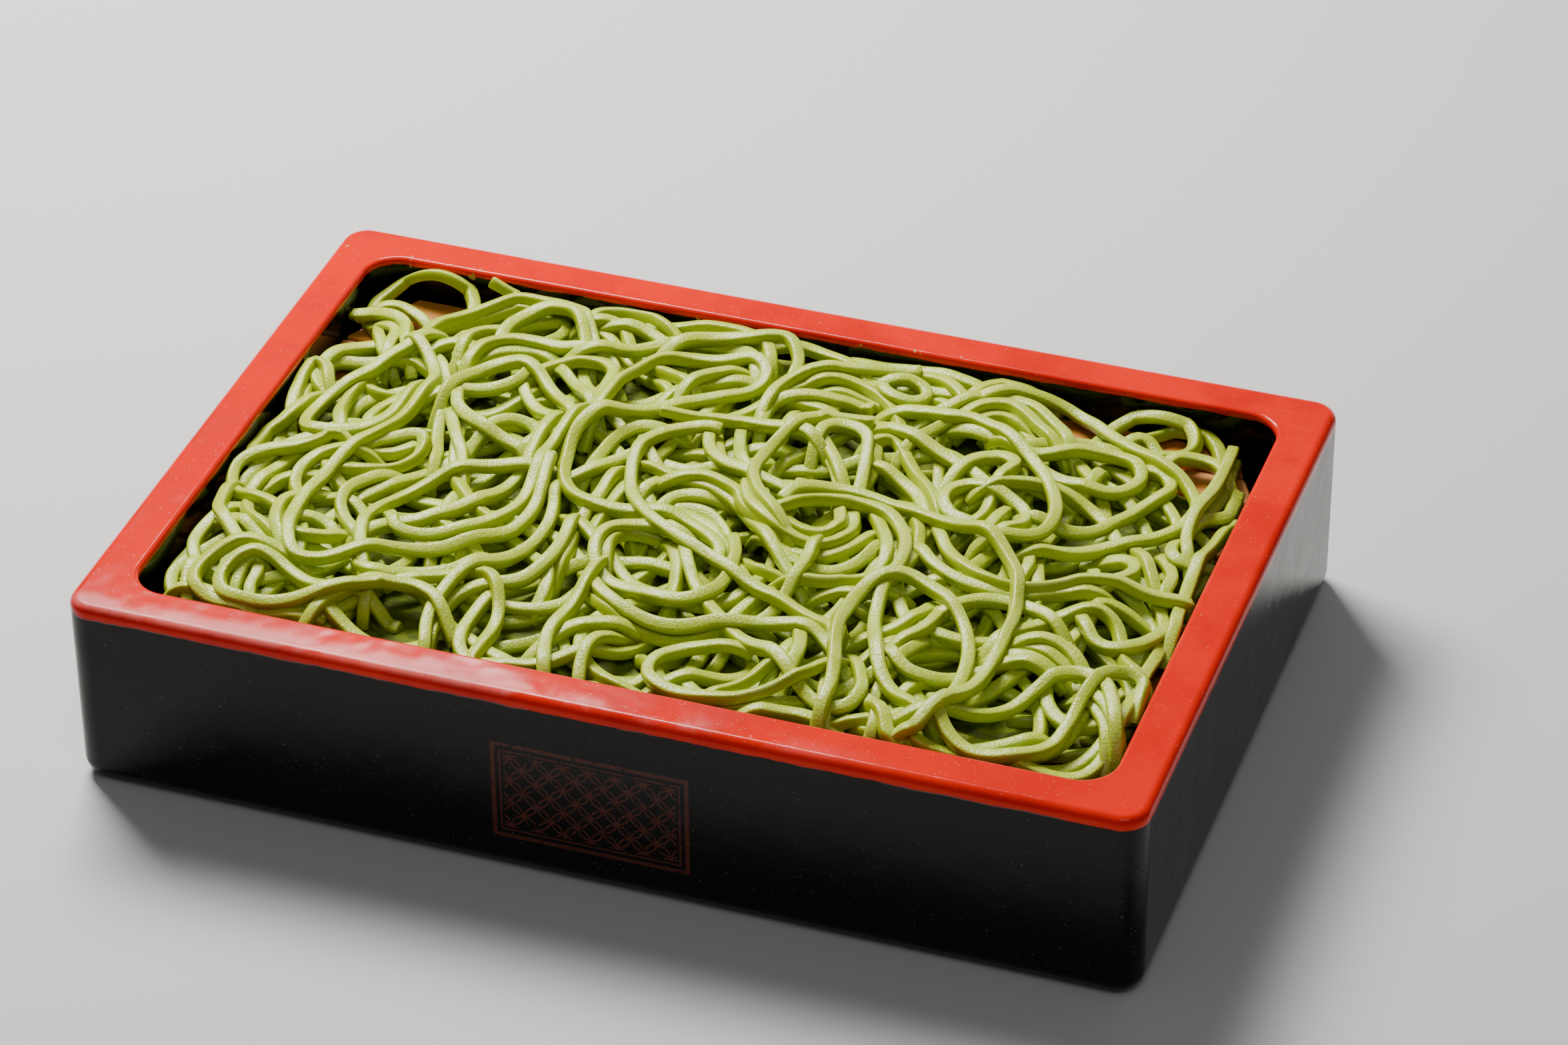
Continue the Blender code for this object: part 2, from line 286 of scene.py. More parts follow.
def makeFloor():
    deselectAll()
    bpy.ops.mesh.primitive_plane_add(size=floorLook["size"], location=(0, 0, 0))
    floor = bpy.context.object
    floor.name = "paleFloor"
    material, tree, shader = newMaterial("paleFloor")
    shader.inputs["Base Color"].default_value = (*floorLook["colour"], 1)
    shader.inputs["Roughness"].default_value = floorLook["roughness"]
    floor.data.materials.append(material)


makeCamera()
makeLamps()
makeFloor()
print("camera, lamps and floor made")


# serving box

box = {
    "halfX": 0.120, "halfY": 0.0805, "height": 0.047, "outerCorner": 0.006,
    "rim": 0.0106, "openingCorner": 0.008, "ledge": 0.006, "ledgeHeight": 0.0290, "floor": 0.004,
    "footRounding": 0.0045, "rimOutside": 0.0021, "rimInside": 0.0011,
}
lacquer = {
    "red": (0.78, 0.012, 0.002), "redDeep": (0.62, 0.006, 0.001), "black": (0.0045, 0.0042, 0.0046),
    "roughness": 0.10, "specular": 0.18,
    "paintOutside": 0.0441, "paintInside": 0.0453, "ragged": 0.00156,
    "worn": (0.10, 0.085, 0.080), "chip": (0.48, 0.27, 0.13), "speck": (0.75, 0.6, 0.55),
    # the pale pink mist colour is a painted sheen
    "mistAndSheen": (0.86, 0.50, 0.45), "mistSheenStrength": 0.20,
}
panel = {
    "middle": 0.0215, "halfWide": 0.0222, "halfHigh": 0.0125, "colour": (0.085, 0.022, 0.014),
    "frameLine": 0.0005, "innerLineAt": 0.0021, "innerLine": 0.00022,
    "pitch": 0.0060, "ring": 0.47, "ringLine": 0.036, "patternFrom": 0.0028,
}


# a plain double frame filled with linked roundels, on the front wall only
def panelLines(tree, x, y, z):
    fromMiddle = minus(tree, z, panel["middle"])
    inward = calculate(
        tree, "MINIMUM",
        minus(tree, panel["halfWide"], absolute(tree, x)),
        minus(tree, panel["halfHigh"], absolute(tree, fromMiddle)),
    )
    lines = calculate(
        tree, "MAXIMUM",
        calculate(tree, "COMPARE", inward, panel["frameLine"], panel["frameLine"]),
        calculate(tree, "COMPARE", inward, panel["innerLineAt"], panel["innerLine"]),
    )
    filled = calculate(tree, "GREATER_THAN", inward, panel["patternFrom"])
    wholeCells = 20  # keeps the numbers above zero
    for shift in (0.0, 0.5):
        squares = []
        for value in (x, fromMiddle):
            cells = plus(tree, calculate(tree, "DIVIDE", value, panel["pitch"]), shift + wholeCells)
            across = absolute(tree, minus(tree, calculate(tree, "FRACT", cells), 0.5))
            squares.append(calculate(tree, "POWER", across, 2.0))
        reach = calculate(tree, "SQRT", plus(tree, *squares))
        ring = calculate(tree, "COMPARE", reach, panel["ring"], panel["ringLine"])
        lines = calculate(tree, "MAXIMUM", lines, times(tree, ring, filled))
    return times(tree, lines, calculate(tree, "LESS_THAN", y, -box["halfY"] + 0.0003))


def makeLacquer():
    material, tree, shader = newMaterial("redAndBlackLacquer")
    place = addNode(tree, "ShaderNodeTexCoord").outputs["Object"]
    split = addNode(tree, "ShaderNodeSeparateXYZ")
    tree.links.new(place, split.inputs[0])
    x, y, z = split.outputs
    # the opening's wall is painted only just below the rim, the outside a little further down
    beyondX = minus(tree, absolute(tree, x), box["halfX"] - box["rim"] + 0.0002)
    beyondY = minus(tree, absolute(tree, y), box["halfY"] - box["rim"] + 0.0002)
    inside = calculate(tree, "LESS_THAN", calculate(tree, "MAXIMUM", beyondX, beyondY), 0.0)
    insideHigher = times(tree, inside, lacquer["paintInside"] - lacquer["paintOutside"])
    brush = minus(tree, grain(tree, place, 110, 4, 0.6), 0.5)
    edge = plus(tree, insideHigher, lacquer["paintOutside"], times(tree, brush, lacquer["ragged"]))
    above = minus(tree, z, edge)
    red = fade(tree, above, -0.00006, 0.00010)
    # a thin worn line where the paint ends outside
    worn = times(
        tree, fade(tree, absolute(tree, above), 0.00030, 0.00008),
        fade(tree, grain(tree, place, 60, 3), 0.46, 0.56), minus(tree, 1.0, inside),
    )
    # small chips along the inner edge at the back
    chips = times(
        tree, fade(tree, grain(tree, place, 230, 2), 0.70, 0.73),
        fade(tree, absolute(tree, minus(tree, beyondY, 0.0006)), 0.0012, 0.0006),
        fade(tree, y, 0.0, 0.01),
    )
    specks, haze = placeWear(tree, place, 0.0006, 0.028)
    # a breath of mist on top of the front edge, thinning out to the right; its pale colour is a painted sheen, a
    # painted reflection laid over real mist
    mistAndSheen = times(
        tree, fade(tree, y, -0.0735, -0.0785), fade(tree, grain(tree, place, 55, 4, 0.7), 0.38, 0.60),
        fade(tree, z, 0.0456, 0.0468), fade(tree, x, 0.075, 0.0),
    )
    lines = times(tree, panelLines(tree, x, y, z), fade(tree, grain(tree, place, 420, 3), 0.30, 0.44))

    redColour = blendColours(tree, haze, lacquer["red"], lacquer["redDeep"])
    blackColour = blendColours(tree, lines, lacquer["black"], panel["colour"])
    colour = blendColours(tree, red, blackColour, redColour)
    colour = blendColours(tree, times(tree, worn, 0.7), colour, lacquer["worn"])
    colour = blendColours(tree, chips, colour, lacquer["chip"])
    colour = blendColours(tree, times(tree, specks, 0.16), colour, lacquer["speck"])
    # painted sheen: the mist band lightens the colour towards a pale pink
    colour = blendColours(tree, times(tree, mistAndSheen, lacquer["mistSheenStrength"]), colour, lacquer["mistAndSheen"])
    tree.links.new(colour, shader.inputs["Base Color"])
    roughness = plus(
        tree, times(tree, haze, 0.07), times(tree, mistAndSheen, 0.20),
        times(tree, plus(tree, specks, chips), 0.2), lacquer["roughness"],
    )
    tree.links.new(roughness, shader.inputs["Roughness"])
    shader.inputs["Specular IOR Level"].default_value = lacquer["specular"]
    sway = bump(tree, grain(tree, place, 70, 2), 0.22, 0.0012)
    relief = bump(tree, plus(tree, red, specks), 0.25, 0.00005, sway)
    tree.links.new(relief, shader.inputs["Normal"])
    return material


def makeBox():
    top = box["height"]
    openX, openY = box["halfX"] - box["rim"], box["halfY"] - box["rim"]
    piece = roundedBlock("serving_box", box["halfX"], box["halfY"], 0.0, top, box["outerCorner"], 14)
    bevelEdges(piece, lambda a, b: max(a.z, b.z) < 0.0001, box["footRounding"], 8)
    bevelEdges(piece, lambda a, b: min(a.z, b.z) > top - 0.0001, box["rimOutside"], 7)
    for halfX, halfY, low in (
        (openX, openY, box["ledgeHeight"]),
        (openX - box["ledge"], openY - box["ledge"], box["floor"]),
    ):
        hollow = roundedBlock("hollow", halfX, halfY, low, top + 0.02, box["openingCorner"], 14)
        applyModifier(piece, "BOOLEAN", operation="DIFFERENCE", object=hollow, solver="EXACT")
        bpy.data.objects.remove(hollow, do_unlink=True)

    def onOpening(p):
        return p.z > top - 0.0001 and abs(p.x) < openX + 0.0002 and abs(p.y) < openY + 0.0002

    bevelEdges(piece, lambda a, b: onOpening(a) and onOpening(b), box["rimInside"], 5)
    makeActive(piece)
    bpy.ops.object.shade_smooth_by_angle(angle=math.radians(38))
    applyModifier(piece, "WEIGHTED_NORMAL", keep_sharp=True, weight=100)
    piece.data.materials.clear()
    piece.data.materials.append(makeLacquer())
    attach(piece, "root")
    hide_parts("box_body")


makeBox()
print("serving box made")


# rack

rack = {
    "light": (0.60, 0.24, 0.028), "dark": (0.42, 0.125, 0.010), "roughness": 0.28,
    "dampFilm": 0.25, "dampFilmRoughness": 0.2,
}


def makeRackWood():
    material, tree, shader = newMaterial("dampRackWood")
    place = addNode(tree, "ShaderNodeTexCoord").outputs["Object"]
    lengthways = grain(tree, place, 260, 5, 0.6, stretch=(0.06, 1.0, 0.6))
    fine = grain(tree, place, 1500, 3, 0.6, stretch=(0.05, 1.0, 1.0))
    haze = placeWear(tree, place, 0.0008, 0.016)[1]
    colour = blendColours(tree, fade(tree, lengthways, 0.35, 0.65), rack["light"], rack["dark"])
    colour = blendColours(tree, times(tree, haze, 0.35), colour, rack["dark"])
    tree.links.new(colour, shader.inputs["Base Color"])
    roughness = plus(tree, times(tree, fine, 0.25), rack["roughness"])
    tree.links.new(roughness, shader.inputs["Roughness"])
    shader.inputs["Coat Weight"].default_value = rack["dampFilm"]
    shader.inputs["Coat Roughness"].default_value = rack["dampFilmRoughness"]
    relief = bump(tree, plus(tree, lengthways, fine), 0.5, 0.0002)
    tree.links.new(relief, shader.inputs["Normal"])
    return material


rackWood = makeRackWood()
for name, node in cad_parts.items():
    if name.startswith("rack_"):
        node.data.materials.clear()
        node.data.materials.append(rackWood)
print("rack finished")


# noodle heap: where each noodle lies

heap = {
    # the room for it: top of the rack, the opening's half sizes and corners
    "rackTop": 37.6, "bottom": 37.95, "halfX": 109.4, "halfY": 69.9, "rimTop": 47.0,
    "openingCorner": 8.0, "cornerRoom": (17.0, 5.0), "wallClearance": 1.75,
    # its shape: low along the walls, higher in the middle
    "edgeLevel": 5.4, "middleLevel": 11.0, "edgeSlope": 42.0, "highest": 51.9,
    "coreBelow": 11.6, "fillBelow": 9.4, "pressFrom": 41.0, "pressCurve": 1.12,
    # places where the rack shows: middle x, y, half sizes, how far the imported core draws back
    "bareRack": ((84, 62, 27, 11, 19), (-95, 63, 14, 10, 15)),
    # a noodle, and how it hangs over others
    "width": 2.95, "thickness": 2.55, "step": 1.2, "sink": 0.35, "drapeRadius": 17.0, "drapeRounds": 170,
    "carryOn": 7.0, "diveLength": 8.0, "diveDepth": 5.0,
    # how far a traced place moves, in x and y, for each mm that the noodle lies above the rim
    "eyeLean": (0.472, -1.342),
    # noodles laid at random under the traced ones
    "fillStrands": 54, "fillTries": 12, "fillLengths": (230.0, 100.0), "sharpestBend": 0.14, "seed": 23,
}

# Each line is one noodle, x,y in mm as it looks over the plane of the rim from the camera.
# A bar marks a cut end that shows; every other end goes down between its neighbours.
lowerNoodles = """
-102.5,49 -102.8,53 -101.5,57.5 -98.5,62.5 -95,66.2 -91,67.8 -86.8,66 -83.5,62.5 -81,58.5 -79.5,54
| -78.7,69 -75.3,66.3 -71.5,63.2 -68,60
-98.3,44.7 -97.8,41.3 -96.3,37.3 -94.3,34 -92.3,30.7 -90.5,28.5
-95.3,42.3 -93.3,41 -92,38 -91.3,33.7 -90.7,30
-99.5,49.5 -96,50.6 -92.5,49.9 -89.5,48.2
-83.5,40 -82.5,45 -79,50.5 -74.5,54.5 -69.5,56.8 -66,57.3
-67,50 -64.5,53.5 -61,55.2 -58,55.8 -56.3,54 -56.8,50 -58.3,46.8
-69,37 -66,39.5 -62,42 -58.7,42.7 -55.3,42
-82.7,33.7 -81,37 -78.3,39 -75.3,39.3 -72.7,38 -71,35.3 -70.5,31
-75.5,40 -75,44 -73,47.3 -70,49
-100.7,18.7 -102.3,21.3 -105,22.3 -106.2,20.3 -105.7,15.3 -105,10.3 -104,5.3 -103,2.3
-101,9 -101.7,4.3 -103.3,-0.7 -105.3,-4.7 -106,-9 -105.3,-13 -104.3,-15.3
-97,-34.7 -95.3,-37.7 -92.7,-40 -89.3,-41.7 -86.7,-43
-97.7,-40.3 -93.7,-42.3 -88.7,-45.3 -84.3,-48.3
-84,-37 -80.5,-35.8 -77,-36.3 -75,-38
-84,-41 -80.5,-42.2 -76.5,-40.8 -74,-38.3
-58.3,8.5 -57,11.2 -53.5,13.7 -49.5,14 -46.5,12.3 -44.7,10
-43.3,13.7 -45.3,10.3 -47.7,7 -49.3,5.3
-70.7,14.3 -69.3,8.3 -67.3,2 -65.3,-3 -64,-7.7
-67.7,13 -65.3,8.3 -62.7,3.7 -60,-0.3 -58,-4.7
-79.5,18 -84,16.8 -89,17.3 -92,19.8 -91.3,24.5 -88.3,28.3 -84,30 -80.5,28.8
-80.5,16.5 -83,12.7 -84.3,9.7 -84.7,5.7 -84.3,3.7
-92.7,17 -93,12 -92.3,7 -90.7,2.7 -89.3,-0.3
-51.7,59.7 -50.3,62.3 -47,64 -42.7,64.3 -38.3,63.3 -34.3,60.7 -30.7,58 -28.7,56.3
-49.7,58.3 -47,59 -44.3,58.3 -42,55.7 -40,52.3 -39,51
-43,59.7 -39,59 -35.3,57.3 -31.7,55.3
-4.5,64.3 -1,64.8 3,64 7.5,62.3 11.5,60.2 14,58
82,52.3 85,55 88.3,58 93,58.7 96.3,57.7 99,55 100.7,51.7
79.7,49.7 81.7,51.7 84.3,51.3 86.3,49.3 87.7,47.7
45.7,47.7 48,49.7 50.7,50.3 54,49.3
41,58 43,61.5 46.5,63.8 50.5,64.4 54.5,63
27,61.2 31,60.8 35,58.7 38.5,55.8
105,44.7 105.3,39.7 104.7,34.7 103.3,30.3
108,33.7 108,30.7 106.3,28.3 103.7,26.3 102.3,23
31.3,23.3 34.7,21.3 38,19 41,16.3 43,13.3 44.3,11
15,-10 19,-12.8 24,-14.2 28.5,-13.3 32.3,-10.3 35,-6 36.3,-1.5
17,-14.5 21,-17 26,-18 31,-17.3 35,-14.8 37.8,-11 38.8,-6.5
43.5,7 45.5,3 46.9,-2.5 47.3,-8.5 46.8,-14 45.8,-18
-3.7,26 -2.3,21.7 -0.7,17.7 1.7,14.3 4.7,11.7
-21,22 -25.5,20.8 -28.5,17.8 -30,13 -30.6,7.5 -31,1
-23.5,11 -26.5,6.5 -29,1.8 -31.5,-2.5 -34.5,-5.5
-7.5,-5.3 -3.5,-4.9 1,-6.7 5,-10.3 8,-15 10.3,-20
-11.5,-9.5 -10.8,-6 -9.5,-2.5 -7,0 -3.5,1
-15.7,-3.7 -14.7,-1.3 -13,1.7
-25.5,1.5 -25.8,-4 -26.2,-9
-21.5,0 -22,-5 -22.5,-10
-99.3,-59 -98.7,-62.7 -97.3,-66.7 -96,-70
-97,-69.7 -92,-68.3 -87,-68 -82,-68.3 -77,-68.7 -72.7,-67.7
-85.3,-54.3 -84.3,-58.3 -84,-62.3 -83.3,-64.7
-87,-52 -88,-57 -87.5,-62
-4,-55 -5.7,-58.3 -6.7,-62.3 -6.7,-66.3 -6,-69.7
11,-68.5 15,-65.5 20,-63 24.3,-60.8 27.2,-57.5 27.3,-54 25,-51
23,-66 26,-62.7 28.6,-59 30.8,-55 33,-52
33,-41 34.8,-45.5 35.8,-50 35.5,-54
33,-69.7 36.3,-68.7 40.7,-67.3 44,-67
52.7,-57.7 55.3,-60 57.7,-63.3 58.7,-67 59,-70.3
57.3,-61 59.3,-63.7 61,-67 62.3,-70
48,-35.7 51.3,-33.7 54,-30.7 55.7,-26.7 56.3,-23
54.7,-39 57,-35.7 58.7,-31.7 59.3,-27.3 59,-24
44.7,-22.3 40.7,-24 36.3,-25 33,-26.3
13.7,-20.3 16.3,-22.7 19.7,-24 23.7,-24
90,-15.3 90.7,-12.7 93,-11.3 96.3,-11.3
88.7,7 91.3,7 93.7,5 94.3,2 93.3,-0.7 91.7,-2.3
92.3,11 94.7,7 97.3,3 99.7,-1
99,10.3 101.3,7 102.7,3 103,-1.3
100,15.7 100.3,12 102,9 105,8.3 107.3,9.3
56,22 60,24.5 65,25.3 70,24.8
70.3,3.7 71.7,-0.3 72.7,-4 72.7,-7.7
75,-32.5 80,-31.8 86,-33 91,-35
75.5,-34.5 80,-34.2 86,-35.2
80,-29 84,-28.8 89,-30.3 93,-33.5
97.5,-46 101,-49 104,-53 105.5,-57
98.5,-43.5 102.5,-47 105.7,-51.5
9.5,31.5 13,28.5 17,24.5 20.5,20 23,15.5
12.5,31 16,27 19.5,22.5 22.5,18
-58,30 -54,24 -49,19.5 -44,17.5
-31,45 -26,42 -21,38.5
-14,50 -18,46 -21,41
"""

middleNoodles = """
| -108,44.8 -105,45.6 -101,46.4 -97,45.6 -93.5,44.6 -91,42.5 -89.8,39 -88.3,36
-86,39.5 -84,46.5 -81,52.5 -77,57.5 -71.5,61.3 -65,62.6 -59,62 -54,59.5 -51,55.5 -48.5,51.5 -46,47.3
-69,46.7 -68.7,51.3 -67.3,55.7 -65.3,59 -62.7,60.7 -60,60.7 -57,59.7 -54,57.3 -51.5,53.5 -49.5,49.5 -48,46.5
-71.5,33 -70.5,40 -68,44.3 -64.5,46.5 -60,46.9 -54,46 -48,46.2 -43,45.8 -39.8,43 -38.6,38 -38.8,32 -39.3,26 -39.8,20 -40,15
-56.3,36 -55,38.7 -52.7,41.3 -49.7,43.3 -46,44 -42.7,43.7 -40.3,42 -39,39.3 -38.5,34 -38.8,28
-77,16 -74.5,18.8 -70,22.5 -65,25 -60.5,27.5 -58,30 -57.5,33
-85.5,39 -87.3,34.5 -90,29 -92.3,22.5 -94.5,17 -97.5,11.5 -98.8,5 -97.8,-0.5 -94.8,-3.5 -90,-3 -86,-0.5 -82.8,3.5 -80.6,9 -79.6,15 -79.2,20
-90.5,-32.8 -94,-31.6 -98.5,-31.3 -102.5,-29.3 -104.8,-26 -106.2,-21 -105,-17.3 -101.5,-14.2 -96.5,-11.8 -92,-9.2 -88,-6.8 -83,-6.9 -78,-6.8 -74.5,-5.6 -72,-3 -71,-0.5
-80,-2.3 -77,0.3 -73.7,2.3 -70.7,2.3 -69,-0.7 -69,-4.7 -71,-8.3 -73.7,-11 -77,-13 -80,-14 -82.3,-14.3
-83,-7.5 -87,-8.8 -90,-11.5 -91.5,-16 -91.3,-21 -89.8,-25 -87,-28
-86,-25.5 -88.5,-28.5 -89.5,-32 -88.8,-36.5 -86.8,-41 -84.5,-44
-104,-29 -103.3,-33 -102,-37.7 -99.3,-41 -96.3,-43.7 -93.3,-46.7 -90.7,-48.3
-74.5,-14.5 -77,-18.5 -78.3,-23 -77.8,-27.5 -75.5,-31.5 -72.5,-35.5 -69.5,-39
-68.5,18.5 -67,15.5 -63,12.2 -58,9 -53,6.3 -48.5,3.8 -45.5,1.2
-46,47.4 -39.2,49.7 -33.4,53.7 -26.5,57.7 -20.8,59.2 -15,58.5 -11,55.5 -9,51.5
-29,57 -25.5,60 -20,62.2 -14,63.2 -9,65 -6,65 -3.3,62.5 -1.3,58.5 -0.8,54
-1,33 -1.2,37 -0.2,40.5 3,42.8 8,43.8 13,43.5 18,43.2 22,41.8 |
73.5,53 75,57 78.3,60.6 82.5,62.7 86.5,62.9 90.5,60.7 93.2,57 93.7,52.8 91.5,49 87.5,46.8 83,45.2 78,44.6
53,43.3 58,42 63,44 68,45.7 71.7,46.7 76.3,46.3
89.5,42 90.3,45.2 93,47.9 97,48.7 100.5,47.7 103.5,44.5
6.5,52.5 10.5,53.7 15,53.3 19.5,51.2 23.5,47.8 27,43.5 29.8,38.8 31,35
21,57 21,52.5 24,50 28.3,50.3 30.8,53.3 29.5,56.7 26,58.2 23.5,57.5
35,48.5 38.5,52 42.5,55.5 47,58 51.5,58.2 56,56.5 60,53.3 63.5,49.8 66.5,46
41,47.5 43.3,51.5 46.5,54.5 50.5,55.3 54.5,53 58.5,49.8 62,47
27,31 29.5,32.8 32,31.5 35,27.8 38.5,23.5 42,19 45,14.5 47.5,10.5
33.5,36 35.5,40.5 38.2,44.5 42,46.8 46,46.3 49.5,43.3 52,39.8 54,36.5
-18,8.3 -13,6.2 -7.5,4.8 -2,3.8 3,1.6 7,-1.5 10,-5 13.5,-9 17,-13 21,-17.5 25,-21.5
-10,7.2 -5.5,7.6 -1,6.4 3.5,4.3 5.5,1 8,-1.7 12,-4.5
4,8 5.5,4 8,0 11.5,-3.5 16,-6.3 21,-8 26,-8.3 29.8,-6.5 31.5,-3 31.3,1 30,4.5
8.5,6.5 10.5,2.5 14,-1.2 18,-4 22.5,-5.3 26.5,-4.5 28.6,-1.5 28,2 26.8,5
34,6.5 36.5,2.8 39,-1.5 41.3,-6.5 42.2,-11.5 40.8,-16 37,-19.3 32,-21.3 27,-22
-10.5,24.5 -9.2,20.5 -6.5,16.5 -2.5,13.6 2.5,11.5 8,9.3 13,7.5
-9,-9.2 -4.5,-8.3 0,-9.2 4,-11.8 7,-15.7 10,-20 13.5,-23.5
-10.5,-16.7 -13.8,-18 -15.7,-21 -16,-25 -15.2,-28
25.5,-9 26,-15 26.1,-21 25.8,-27 24.8,-33 22.8,-38.5 20,-43
-27.3,-18 -26.6,-24 -26.4,-30 -27.3,-36 -29.8,-41.2 -34,-45.2 -38.5,-48.3 -41.5,-52.5 -42.2,-58 -41.5,-64
-67,-43 -65.3,-47.3 -62.3,-49.8 -58.5,-49.5 -54.5,-47 -50,-45.2 -45.5,-43.3 -42,-40
-67.5,-66 -65.5,-61.5 -63,-57 -59,-53.3 -54.5,-51 -50.5,-51 -47.3,-53 -45,-56
-80,-48.5 -86,-48.3 -91.5,-49.5 -95.8,-53.5 -97.5,-59 -96,-64.5 -91,-68 -84,-68.5
13.5,28 13.7,32.4 16,35.5 20.6,35.6 24,32.4 25.7,26.7 26.9,20.9 27.8,15
27,37 31,36 39,33.6 47,30.1 52.8,25.5 56.6,19.8 57.2,12.9 55,7.3
54,10 50,11.5 47,15.5 47.3,20 50.5,22.8 55,22.6 60,21.5 65,18 66,12 63,6.5
57,25 63,27 70,27 77,24.5 83,20 87,14.5
70,15 76,14 82,16 86,21 89,26.5 92,31 93.5,35.5 91,39.5 86,41
48.5,-4 53,-8.5 59,-11.8 66.6,-13 74,-12 80,-9.5 86,-7.5
54,-42 58.5,-46 64,-46.5 69,-44 73,-40.5 77.5,-37.5 83,-36.5
74,-30 76.5,-25.5 80.3,-21 86.1,-16.8 91.8,-15.3 96,-17.3 98.7,-22.5 101,-28 104,-31.5
61,-20 64.5,-16.6 69,-15 74,-15.3 79,-17.5 83.5,-20.5
90,-19 93,-23 97.5,-25 102,-23.5 105.5,-19.5 107.5,-15
-14,-42 -9.5,-46.5 -3.5,-49.5 3,-50.5 10,-50 16,-48 21,-45
-5,-50.5 -10,-53 -14.5,-56.5 -17.5,-61
-44.5,16 -45,8 -45,0 -46,-8 -48.5,-15.5 -52.5,-21.5 -58,-26.5 -63.5,-29.5 -67,-32.5
| -12,38.5 -13.5,34.5 -14.5,31
-49.5,37.5 -45,32.5 -40,27
"""

